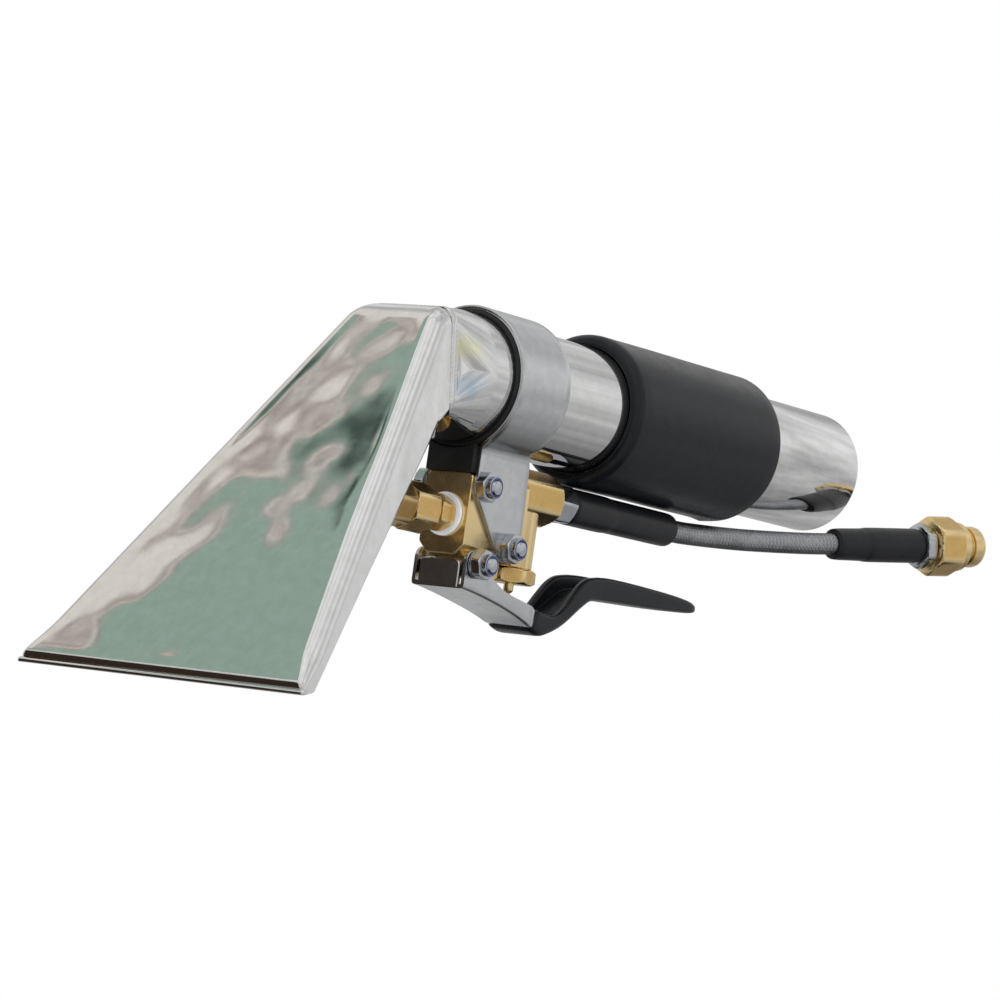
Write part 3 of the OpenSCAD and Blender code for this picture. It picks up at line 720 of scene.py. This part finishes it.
def insideTriangle(corners, x, z):
    # distance to the nearest side from inside, negative outside
    nearest = 1e9
    for (ax, az), (bx, bz) in zip(corners, corners[1:] + corners[:1]):
        length = math.hypot(bx - ax, bz - az)
        nearest = min(nearest, ((x - ax) * (bz - az) - (z - az) * (bx - ax)) / length)
    return nearest


def makeTintedSteel(spec=neckSpec):
    # the weld's heat leaves straw colour above and blue below, in the pressed hollow of each side
    material = finishes["mirror_steel"].copy()
    material.name = "tintedSteel"
    tree = material.node_tree
    shader = tree.nodes["Principled BSDF"]
    plain = shader.inputs["Base Color"].links[0].from_socket
    where = addNode(tree, "ShaderNodeTexCoord").outputs["Object"]
    cloud = addNode(tree, "ShaderNodeTexNoise", Vector=where, Scale=140.0, Detail=3.0)
    split = addNode(tree, "ShaderNodeSeparateXYZ", Vector=where)
    middle = toRow(spec["tintCentre"])
    side = mathNode(tree, "ABSOLUTE", split.outputs["Y"])       # both sides alike
    mirrored = addNode(tree, "ShaderNodeCombineXYZ", X=split.outputs["X"], Y=side, Z=split.outputs["Z"])
    far = addNode(tree, "ShaderNodeVectorMath", operation="DISTANCE")
    tree.links.new(mirrored.outputs["Vector"], far.inputs[0])
    far.inputs[1].default_value = tuple(middle)
    ragged = mathNode(tree, "MULTIPLY_ADD", cloud.outputs["Fac"], spec["tintRagged"], far.outputs["Value"])
    near, gone = (spec["tintRagged"] / 2 + reach * mm for reach in spec["tintReach"])
    mask = mixRange(tree, ragged, spec["tintShare"], 0.0, near, gone)
    height = mixRange(tree, split.outputs["Z"], 0.0, 1.0, *(middle.z + reach * mm for reach in spec["tintSpan"]))
    bare = (0.80, 0.80, 0.80)
    tint = rampOf(tree, height, [(0.0, spec["tintLow"]), (0.42, bare), (0.60, bare), (1.0, spec["tintHigh"])])
    tree.links.new(mixNode(tree, mask, plain, tint), shader.inputs["Base Color"])
    return material


def makeNeck(spec=neckSpec, head=headSpec):
    span = spec["roundX"] - head["neckX"]
    stations = [head["neckX"] + span * k / spec["stations"] for k in range(spec["stations"] + 1)] + [spec["endX"]]
    corners = spec["press"] if insideTriangle(spec["press"], -22, 0.3) > 0 else spec["press"][::-1]
    outer = []
    for x in stations:
        ring = []
        for px, y, z in neckRing(x):
            shift = 0.0
            if abs(y) > 9:
                shift = spec["pressDepth"] * smoothStep(0, spec["pressEdge"], insideTriangle(corners, px, z))
            ring.append((px, y - math.copysign(shift, y), z))
        outer.append(ring)
    inner = [neckRing(x, -spec["wall"]) for x in reversed(stations)]
    rings = outer + inner + [outer[0]]
    return addPiece("neckTransition", *loft(rings), ["neck_transition"], 32, finish=makeTintedSteel())


def makeWeldBead(spec=neckSpec, head=headSpec):
    base = neckRing(head["neckX"] + spec["beadHalf"] - 0.3)
    middle = Vector((base[0][0], 0, (head["neckHigh"] + head["neckLow"]) / 2))
    fine = [tuple(Vector(a).lerp(Vector(b), k / 4)) for a, b in zip(base, base[1:] + base[:1]) for k in range(4)]
    rings = []
    travelled = 0.0
    for a, b in zip(fine, fine[1:] + fine[:1]):
        out = (Vector(a) - middle).normalized()
        phase = (travelled / spec["rippleLength"]) % 1.0
        swell = 1 + spec["ripple"] * (1 - 2 * phase) + 0.08 * noise.noise(Vector(a) / 3.0)
        ring = []
        for k in range(9):
            angle = math.pi * k / 8
            ring.append(tuple(Vector(a) + Vector((1, 0, 0)) * spec["beadHalf"] * math.cos(angle) * swell
                + out * (spec["bead"] * math.sin(angle) * swell - 0.05)))
        rings.append(ring)
        travelled += (Vector(b) - Vector(a)).length
    return addPiece("neckWeld", *loft(rings + [rings[0]], closed=False), ["neck_weld_bead"], 50)


makeNeck()
makeWeldBead()
print("neck made")

# ---- tube, grip and clamp ----

tubeSpec = dict(front=4.0, rear=187.5, radius=19.05, wall=1.65, line=(136.2, 137.2), lineDepth=0.2, edge=0.35)
gripSpec = dict(front=57.2, rear=135.2, radius=23.2, lip=3.2, rearRound=0.8, dripX=131.0, drip=0.9)
clampSpec = dict(rear=23.6, wall=1.3, linerRadius=20.35, earHalf=8.85, bend=2.6,
    frontEdge=[(-50.2, 17.5), (-48.8, 15), (-33, 2), (-30.8, 1.2), (-21, 1.4), (-17, 0), (30, 0)],
    rearEdge=[(-50.2, 22.5), (-47.5, 25.5), (-43, 26), (-22, 25.4), (-17, 23.6), (30, 23.6)])


def makeTube(spec=tubeSpec):
    outside, inside, edge = spec["radius"], spec["radius"] - spec["wall"], spec["edge"]
    first, last = spec["line"]
    floor = outside - spec["lineDepth"]
    profile = [(spec["front"], inside), (spec["front"], outside), (first, outside), (first + 0.1, floor),
        (last - 0.1, floor), (last, outside), (spec["rear"] - edge, outside),
        (spec["rear"] - edge * 0.3, outside - edge * 0.3), (spec["rear"], outside - edge),
        (spec["rear"], inside + edge), (spec["rear"] - edge, inside)]
    return addPiece("vacuumTube", *lathe(profile, segments=160), ["vacuum_tube"], 30)


def makeGrip(spec=gripSpec):
    radius, front, rear = spec["radius"], spec["front"], spec["rear"]
    lip, back = spec["lip"], spec["rearRound"]
    profile = [(front + 0.8, 19.05), (front, 19.6)]
    profile += arcPoints((front + lip, radius - lip), lip, 180, 90, 10)
    profile += [(front + lip + (rear - front - lip - back) * k / 16, radius) for k in range(1, 16)]
    profile += arcPoints((rear - back, radius - back), back, 90, 0, 6)
    profile += [(rear, 19.4), (rear - 0.4, 19.05)]
    points, faces = lathe(profile, segments=144)
    shaped = []
    for x, y, z in points:
        angle = math.atan2(y, -z)
        drip = spec["drip"] * math.exp(-((x - spec["dripX"]) / 2.4) ** 2 - (angle / 0.07) ** 2)
        wave = 0.10 * noise.noise(Vector((x / 26, y / 14, z / 14))) * smoothStep(19.2, 22.5, math.hypot(y, z))
        grow = 1 + min(wave, 0.05) / radius
        shaped.append((x, y * grow, z * grow - drip * smoothStep(21, 22.5, math.hypot(y, z))))
    return addPiece("gripSleeve", shaped, faces, ["grip_sleeve"], 60)


def makeClampBand(spec=clampSpec):
    middle = spec["linerRadius"] + spec["wall"] / 2
    half, bend = spec["earHalf"], spec["bend"]
    meet = -math.sqrt(middle ** 2 - half ** 2)
    startAngle = math.degrees(math.atan2(meet, half))
    arcStart = startAngle + math.degrees(bend / middle)
    path = [(half, -50.2 + (meet - bend + 50.2) * k / 16) for k in range(16)]
    bendStart = Vector((half, meet - bend))
    bendEnd = Vector((middle * math.cos(math.radians(arcStart)), middle * math.sin(math.radians(arcStart))))
    corner = Vector((half, meet))
    for k in range(9):
        t = k / 8
        path.append(tuple((1 - t) ** 2 * bendStart + 2 * t * (1 - t) * corner + t * t * bendEnd))
    arc = arcPoints((0, 0), middle, arcStart, 90, 40)
    path += arc[1:]
    path += [(-y, z) for y, z in reversed(path[:-1])]
    rings = []
    for index, (y, z) in enumerate(path):
        low = z if min(index, len(path) - 1 - index) < 30 else 20.0
        front, rear = lookUp(spec["frontEdge"], low), lookUp(spec["rearEdge"], low)
        rings.append([(front + (rear - front) * k / 10, y, z) for k in range(11)])
    return addPiece("clampBand", *loft(rings, closed=False), ["clamp_band"], 50, [
        ("SOLIDIFY", dict(thickness=spec["wall"] * mm, offset=0, use_even_offset=True)),
        ("BEVEL", dict(width=0.22 * mm, segments=2, limit_method="ANGLE", angle_limit=math.radians(50))),
    ])


makeTube()
makeGrip()
makeClampBand()
addPiece("clampLiner", *lathe([(-0.6, 19.1), (-0.7, 19.5), (-0.5, 19.9), (-0.1, 20.3), (24.0, 20.3), (24.3, 20.0),
    (24.2, 19.1)], segments=128), ["clamp_liner"])
softened("saddle_pad", 0.4)
print("tube, grip and clamp made")

# ---- bolts, nuts and washers ----

boltSpec = dict(
    # place, face of the ear, washers under the nut, washers under the head, how far the end stands out
    seats=[((4.3, -30.6), 9.5, 0.2, 0.2, 0.5), ((17.9, -46.6), 9.5, 1.8, 1.8, 0.5),
        ((6.0, -52.9), 9.8, 0.8, 0.0, 0.5)],
    radius=2.45, across=8.0, high=3.0, collar=3.3, collarHigh=1.7, head=3.4, thread=0.7, lowHead=(3.5, 0.8),
)


def boltPlace(seat, side=-1):
    # local x runs outward from the ear on the nut side (-1) or the head side (1)
    return Matrix.Translation((seat[0][0], 0, seat[0][1])) @ Matrix.Rotation(side * math.pi / 2, 4, "Z")


def boltShape(seat, hexagon=True, spec=boltSpec):
    face, headFace = seat[1] + seat[2], seat[1] + seat[3]
    tip = face + spec["high"] + spec["collarHigh"] + seat[4]
    radius = spec["radius"]
    profile = [(-headFace - 0.1, 0), (-headFace - 0.1, radius - 0.1), (face + spec["high"], radius - 0.1)]
    x = face + spec["high"]
    while x < tip - 0.9:
        profile += [(x, radius), (x + spec["thread"] / 2, radius - 0.38)]
        x += spec["thread"]
    profile += [(tip - 0.8, radius - 0.1), (tip - 0.12, radius - 0.5), (tip, radius - 0.75), (tip, 0)]
    shank = lathe(profile, boltPlace(seat), segments=48)
    if hexagon:
        top = headFace + spec["head"]
        outline = [(headFace, 0)] + hexProfile(headFace, top, spec["across"], 0.5, 0.1)[1:-1] + [(top, 0)]
        return join(shank, lathe(outline, boltPlace(seat, 1), segments=72, across=spec["across"]))
    wide, high = spec["lowHead"]
    outline = [(headFace, 0), (headFace, wide - 0.1), (headFace + high * 0.5, wide), (headFace + high, wide - 0.5),
        (headFace + high, 0)]
    return join(shank, lathe(outline, boltPlace(seat, 1), segments=72))


def nutShape(seat, spec=boltSpec):
    face = seat[1] + seat[2]
    hexagon = hexProfile(face, face + spec["high"], spec["across"], 0.35, spec["radius"])
    base = lathe(hexagon, boltPlace(seat), segments=96, across=spec["across"], turn=-12)
    low, high, collar = face + spec["high"] - 0.2, face + spec["high"] + spec["collarHigh"], spec["collar"]
    outline = [(low, 2.5), (low, 3.0), (low + 0.25, collar), (high - 0.5, collar), (high - 0.12, collar - 0.12),
        (high, collar - 0.3), (high - 0.05, collar - 0.4), (low + 0.4, collar - 0.4), (low + 0.4, 2.5)]
    return join(base, lathe(outline, boltPlace(seat), segments=64))


def nylonShape(seat, spec=boltSpec):
    low = seat[1] + seat[2] + spec["high"] + 0.25
    high = low + spec["collarHigh"] - 0.35
    outer = spec["collar"] - 0.42
    outline = [(low, 2.36), (low, outer), (high - 0.06, outer), (high, outer - 0.08), (high, 2.45), (high - 0.2, 2.36)]
    return lathe(outline, boltPlace(seat), segments=48)


def washerShape(seat):
    shapes = []
    for side, thick in ((-1, seat[2]), (1, seat[3])):
        count = 3 if thick > 1.5 else 1 if thick > 0 else 0
        for k in range(count):
            low = seat[1] + thick * k / count
            high = low + thick / count - 0.02
            soft = min(0.12, (high - low) / 3)
            outline = [(low, 2.55), (low, 4.2), (low + soft, 4.3), (high - soft, 4.3), (high, 4.2), (high, 2.55)]
            shapes.append(lathe(outline, boltPlace(seat, side), segments=72))
    return join(*shapes)


seats = boltSpec["seats"]
addPiece("clampBolts", *join(boltShape(seats[0]), boltShape(seats[1])), ["clamp_bolts"], 30)
addPiece("triggerPivotBolt", *boltShape(seats[2], hexagon=False), ["trigger_pivot_bolt"], 30)
addPiece("lockNuts", *join(*[nutShape(s) for s in seats]), ["lock_nuts"], 30)
addPiece("lockNutRings", *join(*[nylonShape(s) for s in seats]), ["lock_nut_rings"], 40)
addPiece("boltWashers", *join(*[washerShape(s) for s in seats]), ["bolt_washers"], 40)
print("fasteners made")

# ---- solution valve and its fittings ----

upright = Matrix.Translation((35.6, 0, 0)) @ Matrix.Rotation(-math.pi / 2, 4, "Y")
valveSpec = dict(front=0.3, rear=29.0, half=8.2, low=-51.0, high=-27.0, edge=0.35, barrel=6.0, boss=14.4,
    bossX=(27.0, 48.0),
    web=(27.5, 35.6, 5.9, -50.9, -28.0), foot=(3.9, 12.3, 7.7, -57.0, -50.0))


def boxShape(x0, x1, outline, edge):
    # an outline in y and z carried along x, with its two ends chamfered
    middleY = sum(y for y, z in outline) / len(outline)
    middleZ = sum(z for y, z in outline) / len(outline)
    rings = []
    for x, inset in ((x0, edge), (x0 + edge, 0), (x1 - edge, 0), (x1, edge)):
        ring = []
        for y, z in outline:
            reach = math.hypot(y - middleY, z - middleZ)
            share = 1 - inset / reach
            ring.append((x, middleY + (y - middleY) * share, middleZ + (z - middleZ) * share))
        rings.append(ring)
    return loft(rings, capFirst=True, capLast=True)


def makeValveBody(spec=valveSpec):
    half, low, high, edge = spec["half"], spec["low"], spec["high"], spec["edge"]
    corners = [(half - 3, low), (half, low + 3), (half, high - 1), (half - 1, high), (1 - half, high),
        (-half, high - 1), (-half, low + 3), (3 - half, low)]
    block = boxShape(spec["front"], spec["rear"], roundedOutline(corners, [edge] * 8, 3), edge)
    blocks = [block]
    for part, chamfer in (("web", 0.1), ("foot", edge)):
        x0, x1, wide, bottom, top = spec[part]
        outline = roundedOutline([(-wide, bottom), (wide, bottom), (wide, top), (-wide, top)], [edge] * 4, 3)
        blocks.append(boxShape(x0, x1, outline, chamfer))
    radius = spec["barrel"]
    barrel = lathe([(low, 0), (low, radius - edge), (low + edge, radius), (-28, radius), (-28, 0)], upright)
    x0, x1 = spec["bossX"]
    boss = lathe([(x0, 0)] + hexProfile(x0, x1, spec["boss"], 1.3, 4.4)[1:] + [(x1 - 5, 4.4), (x1 - 5, 0)], hoseAxis,
        across=spec["boss"], turn=hexTurn, cornerRound=0.2)
    return addPiece("valveBody", *join(*blocks, barrel, boss), ["valve_body"], 30)


makeValveBody()
softened("valve_top_plug", 0.15)
addPiece("valveGland", *join(
    lathe([(-55.5, 1.55)] + hexProfile(-55.5, -51.02, 13.4, 0.7, 2.2)[1:-1] + [(-51.02, 1.55)], upright,
        across=13.4, turn=42),
    lathe([(-52, 1.6), (-52, 3.9), (-47.7, 3.9), (-47.7, 1.6)], upright)), ["valve_gland_nut"])
addPiece("valvePlunger", *lathe([(-65.3, 0), (-65.3, 0.45), (-65.0, 0.75), (-58.3, 0.75), (-58.2, 0.95), (-58.0, 1.25),
    (-57.6, 1.45), (-57.2, 1.5), (-35, 1.5), (-35, 0)], upright, segments=48), ["valve_plunger"])
addPiece("jetWasher", *lathe([(-0.9, 3.9), (-0.9, 6.0), (-0.7, 6.35), (0.0, 6.4), (0.3, 6.2), (0.3, 3.9)], jetAxis),
    ["jet_washer"])
addPiece("jetConnector", *join(
    lathe([(-24, 2), (-24, 3.8), (8, 3.8), (8, 2)], jetAxis),
    lathe(hexProfile(-7.2, -0.9, 9.8, 0.4, 3.8), jetAxis, across=9.8, turn=hexTurn)), ["jet_connector"])
addPiece("jetLockNut", *lathe(hexProfile(-21, -10, 13, 0.6, 3.9), jetAxis, across=13, turn=hexTurn), ["jet_lock_nut"])
addPiece("jetBody", *join(
    lathe(hexProfile(-44, -21.05, 12.6, 0.6, 4.0), jetAxis, across=12.6, turn=hexTurn + 18),
    lathe([(-67, 2.2), (-67, 4.3), (-66.7, 4.6), (-43, 4.6), (-43, 2.2)], jetAxis)), ["jet_body"])
softened("jet_inner_nut", 0.3)
softened("spray_nozzle", 0.2)
softened("jet_grommet", 0.5)
addPiece("inletFitting", *join(
    lathe(hexProfile(48, 57.2, 11, 0.6, 1.2), hoseAxis, across=11),
    lathe([(43, 1.2), (43, 4.3), (48.2, 4.3), (48.2, 1.2)], hoseAxis),
    lathe([(57, 1.2), (57, 1.6), (68, 1.6), (68, 1.2)], hoseAxis)), ["inlet_fitting"])
print("valve made")

# ---- trigger ----

triggerSpec = dict(
    top=[(0, -49.4), (10, -49.6), (13.7, -54.6), (18, -57.4), (24, -59.4), (36, -61.2), (42, -62.6), (50, -62.6),
        (55, -60), (59, -55.6), (63, -51.6), (68, -49.3), (80, -48.2), (108, -48.6), (124, -49.5), (131.5, -51.2)],
    low=[(0, -60.5), (8, -61.4), (19, -63.2), (30, -65.5), (38, -67.8), (44, -69.7), (49, -68.4), (56, -65),
        (64.5, -59), (70, -56.2), (80, -55.3), (108, -54.3), (124, -53.4), (131.5, -52.4)],
    half=[(0, 9.5), (20, 9.5), (41, 8.4), (66, 7.3), (110, 5.4), (124, 4.6), (129, 4), (131.5, 3)],
    front=1.3, wall=1.2, dip=1.1, dipFrom=39.4, steelTo=124.0, tail=131.5, steelBend=1.3, dipBend=2.2,
    frontRound=2.8,
    tab=(1.3, 2.6, 7.2, -60.3, -52.3),
)
topLine = smoothLine(triggerSpec["top"], 8)
lowLine = smoothLine(triggerSpec["low"], 8)
halfLine = smoothLine(triggerSpec["half"], 4)


def channelRing(x, inset, wall, edge, corner, spec=triggerSpec, lean=0.0):
    half = lookUp(halfLine, x) - inset
    top = lookUp(topLine, x) - inset
    low = lookUp(lowLine, x) + inset
    fromFront = x - spec["front"]
    if fromFront < spec["frontRound"]:
        rest = spec["frontRound"] - fromFront
        top -= spec["frontRound"] - math.sqrt(max(spec["frontRound"] ** 2 - rest ** 2, 0))
    toTail = (spec["tail"] - x) / 5.0
    if inset == 0 and toTail < 1:
        narrowing = math.sqrt(max(1 - (1 - toTail) ** 2, 0.02))
        half *= narrowing
        middle = (top + low) / 2
        top, low = middle + (top - middle) * narrowing, middle + (low - middle) * narrowing
    inner = max(0.3, half - wall)
    floor = min(low + wall, top - 0.2)
    corners = [(-half, top), (-half, low), (half, low), (half, top), (inner, top), (inner, floor), (-inner, floor),
        (-inner, top)]
    inside = max(corner - wall, 0.4)
    ring = roundedOutline(corners, [edge, corner, corner, edge, edge, inside, inside, edge], 5)
    return [(x + lean * ((z - low) / (top - low) - 0.5), y, z) for y, z in ring]


def makeTriggerLever(spec=triggerSpec):
    stations = [spec["front"] + d for d in (0, 0.15, 0.4, 0.8, 1.3, 2.0, 2.8, 4)]
    stations += [6.8 + 1.6 * k for k in range(24)] + [46, 50, 54, 58, 62, 66, 72, 80, 95, 110, spec["steelTo"]]
    rings = []
    for x in stations:
        inset = spec["dip"] * smoothStep(37.5, 42, x)
        rings.append(channelRing(x, inset, spec["wall"], 0.3, spec["steelBend"]))
    channel = loft(rings, capFirst=True, capLast=True)
    front, back, half, low, high = spec["tab"]
    outline = roundedOutline([(-half, low), (half, low), (half, high), (-half, high)], [0.2, 0.2, 2.0, 2.0], 6)
    tabRings = []
    for x, inset in ((front - 0.25, 0.3), (front, 0.05), (front + 0.1, 0), (back - 0.2, 0), (back, 0.25)):
        tabRings.append([(x, y * (1 - inset / half), z - (z - low) * inset / (high - low)) for y, z in outline])
    tab = loft(tabRings, capFirst=True, capLast=True)
    return addPiece("triggerLever", *join(channel, tab), ["trigger_lever"], 35)


def makeTriggerDip(spec=triggerSpec):
    stations = [spec["dipFrom"] + d for d in (0, 0.3, 0.8)] + [41.0 + 1.2 * k for k in range(25)]
    stations += [72, 76, 80, 86, 94, 102, 110, 118, 123, 126, 128, 129.5, 130.5, 131.1, 131.4, 131.5]
    rings = []
    for x in stations:
        lean = 2.5 * (1 - smoothStep(41, 50, x))
        shy = 0.45 * (1 - smoothStep(spec["dipFrom"], spec["dipFrom"] + 0.8, x))
        ring = channelRing(x, shy, spec["wall"] + 2 * spec["dip"] - 0.6, 1.2, spec["dipBend"], lean=lean)
        rings.append(ring)
    return addPiece("triggerDip", *loft(rings, capFirst=True, capLast=True), ["trigger_dip"], 60)


makeTriggerLever()
makeTriggerDip()
print("trigger made")

# ---- floor, lights and the cards that the metal mirrors ----

studioSpec = dict(
    floorSize=30.0, floorBelow=0.0004, litStrength=1.1,
    # brightness that the metal mirrors, from straight down to straight up
    mirrored=[(-1.0, 0.015), (-0.86, 0.03), (-0.70, 0.28), (-0.42, 0.46), (-0.1, 0.57), (0.3, 0.68), (0.6, 0.62),
        (1.0, 0.85)],
    cloudiness=0.38, cloudScale=3.2,
    lamps=[("keyLight", (-0.7, -0.5, 1.5), 1.6, 14.0), ("fillLight", (0.2, -1.6, 0.9), 1.2, 6.0),
        ("backLight", (0.9, 1.2, 1.3), 1.2, 8.0)],
)
# the cards' own x and y are in metres, and border is the line where the face card turns from pale to green
faceCardSpec = dict(
    place=(-0.171, 0.829, 1.048), aim=(-0.111, 0.0, 0.049), width=1.1, height=0.8,
    across=(-0.664, 0.747), border=-0.0087, uneven=0.05, blotchScale=30.0,
    pale=(0.80, 0.76, 0.70), brown=(0.33, 0.28, 0.25), green=(0.32, 0.43, 0.365), dark=(0.06, 0.09, 0.078),
    shade=(0.014, 0.056, 0.0), shadeReach=(0.014, 0.042), shadeRagged=0.03,
)
darkCardSpec = dict(place=(-1.05, 0.78, 0.0), aim=(0.0, 0.0, 0.04), width=1.5, height=1.3, color=(0.035, 0.024, 0.018))


def cardObject(name, spec, material):
    wide, high = spec["width"] / 2, spec["height"] / 2
    mesh = bpy.data.meshes.new(name)
    mesh.from_pydata([(-wide, -high, 0), (wide, -high, 0), (wide, high, 0), (-wide, high, 0)], [], [(0, 1, 2, 3)])
    mesh.materials.append(material)
    sheet = bpy.data.objects.new(name, mesh)
    toward = (Vector(spec["aim"]) - Vector(spec["place"])).normalized()
    sheet.matrix_world = Matrix.Translation(spec["place"]) @ toward.to_track_quat("Z", "Y").to_matrix().to_4x4()
    sheet.visible_camera = False
    sheet.visible_shadow = False
    sheet.visible_diffuse = False
    scene.collection.objects.link(sheet)
    return sheet


def glowingMaterial(name):
    return startMaterial(name, Base_Color=(0, 0, 0, 1), Roughness=1.0, Specular_IOR_Level=0.0, Emission_Strength=1.0)


def makeFaceCard(spec=faceCardSpec):
    # a pale half, a blotched brown border and a green half with a dark patch, as a workshop wall would show
    material, tree, shader = glowingMaterial("faceCard")
    where = addNode(tree, "ShaderNodeTexCoord").outputs["Object"]
    split = addNode(tree, "ShaderNodeSeparateXYZ", Vector=where)
    blotches = addNode(tree, "ShaderNodeTexNoise", Vector=where, Scale=spec["blotchScale"], Detail=3.0,
        Roughness=0.55)
    part = mathNode(tree, "MULTIPLY", split.outputs["Y"], spec["across"][1])
    beyond = mathNode(tree, "MULTIPLY_ADD", split.outputs["X"], spec["across"][0], part)
    uneven = mathNode(tree, "MULTIPLY_ADD", blotches.outputs["Fac"], spec["uneven"], beyond)
    start = spec["border"] + spec["uneven"] / 2
    factor = mixRange(tree, uneven, 0.0, 1.0, start - 0.1, start + 0.1)
    wall = rampOf(tree, factor, [(0.32, spec["pale"]), (0.42, spec["brown"]), (0.46, spec["pale"]),
        (0.50, spec["brown"]), (0.535, spec["green"]), (1.0, spec["green"])])
    far = addNode(tree, "ShaderNodeVectorMath", operation="DISTANCE")
    tree.links.new(where, far.inputs[0])
    far.inputs[1].default_value = spec["shade"]
    ragged = mathNode(tree, "MULTIPLY_ADD", blotches.outputs["Fac"], spec["shadeRagged"], far.outputs["Value"])
    near, gone = spec["shadeReach"]
    shade = mixRange(tree, ragged, 1.0, 0.0, near + spec["shadeRagged"] / 2, gone + spec["shadeRagged"] / 2)
    tree.links.new(mixNode(tree, shade, wall, spec["dark"]), shader.inputs["Emission Color"])
    return cardObject("faceCard", spec, material)


def makeDarkCard(spec=darkCardSpec):
    material, _, shader = glowingMaterial("darkCard")
    shader.inputs["Emission Color"].default_value = (*spec["color"], 1)
    return cardObject("darkCard", spec, material)


def makeWorld(spec=studioSpec):
    # plain white to the camera, even light on the object, and a cloudy grey room in the metal
    world = bpy.data.worlds.new("studio")
    world.use_nodes = True
    tree = world.node_tree
    rays = addNode(tree, "ShaderNodeLightPath")
    where = addNode(tree, "ShaderNodeTexCoord").outputs["Generated"]
    split = addNode(tree, "ShaderNodeSeparateXYZ", Vector=where)
    clouds = addNode(tree, "ShaderNodeTexNoise", Vector=where, Scale=spec["cloudScale"], Detail=3.0, Roughness=0.55)
    height = mixRange(tree, split.outputs["Z"], 0.0, 1.0, -1.0, 1.0)
    room = rampOf(tree, height, [((z + 1) / 2, (v, v, v)) for z, v in spec["mirrored"]])
    cloud = mixRange(tree, clouds.outputs["Fac"], 1 - spec["cloudiness"], 1 + spec["cloudiness"], 0.3, 0.7)
    mirrored = addNode(tree, "ShaderNodeVectorMath", operation="SCALE")
    tree.links.new(room, mirrored.inputs[0])
    tree.links.new(cloud, mirrored.inputs["Scale"])
    lit = spec["litStrength"]
    color = mixNode(tree, rays.outputs["Is Glossy Ray"], (lit, lit, lit), mirrored.outputs["Vector"])
    color = mixNode(tree, rays.outputs["Is Camera Ray"], color, (1, 1, 1))
    tree.links.new(color, tree.nodes["Background"].inputs["Color"])
    scene.world = world


def makeStudio(spec=studioSpec):
    half = spec["floorSize"] / 2
    mesh = bpy.data.meshes.new("floor")
    mesh.from_pydata([(-half, -half, 0), (half, -half, 0), (half, half, 0), (-half, half, 0)], [], [(0, 1, 2, 3)])
    material, _, shader = glowingMaterial("whiteFloor")
    shader.inputs["Emission Color"].default_value = (1, 1, 1, 1)
    mesh.materials.append(material)
    floor = bpy.data.objects.new("floor", mesh)
    floor.location.z = -spec["floorBelow"]
    floor.visible_glossy = False
    scene.collection.objects.link(floor)
    for name, place, size, power in spec["lamps"]:
        data = bpy.data.lights.new(name, "AREA")
        data.size = size
        data.energy = power
        lamp = bpy.data.objects.new(name, data)
        lamp.location = place
        lamp.rotation_euler = (Vector((0, 0, 0.05)) - Vector(place)).to_track_quat("-Z", "Y").to_euler()
        lamp.visible_glossy = False
        scene.collection.objects.link(lamp)
    makeWorld()
    scene.view_settings.view_transform = "Standard"


makeStudio()
makeFaceCard()
makeDarkCard()
print("studio made")
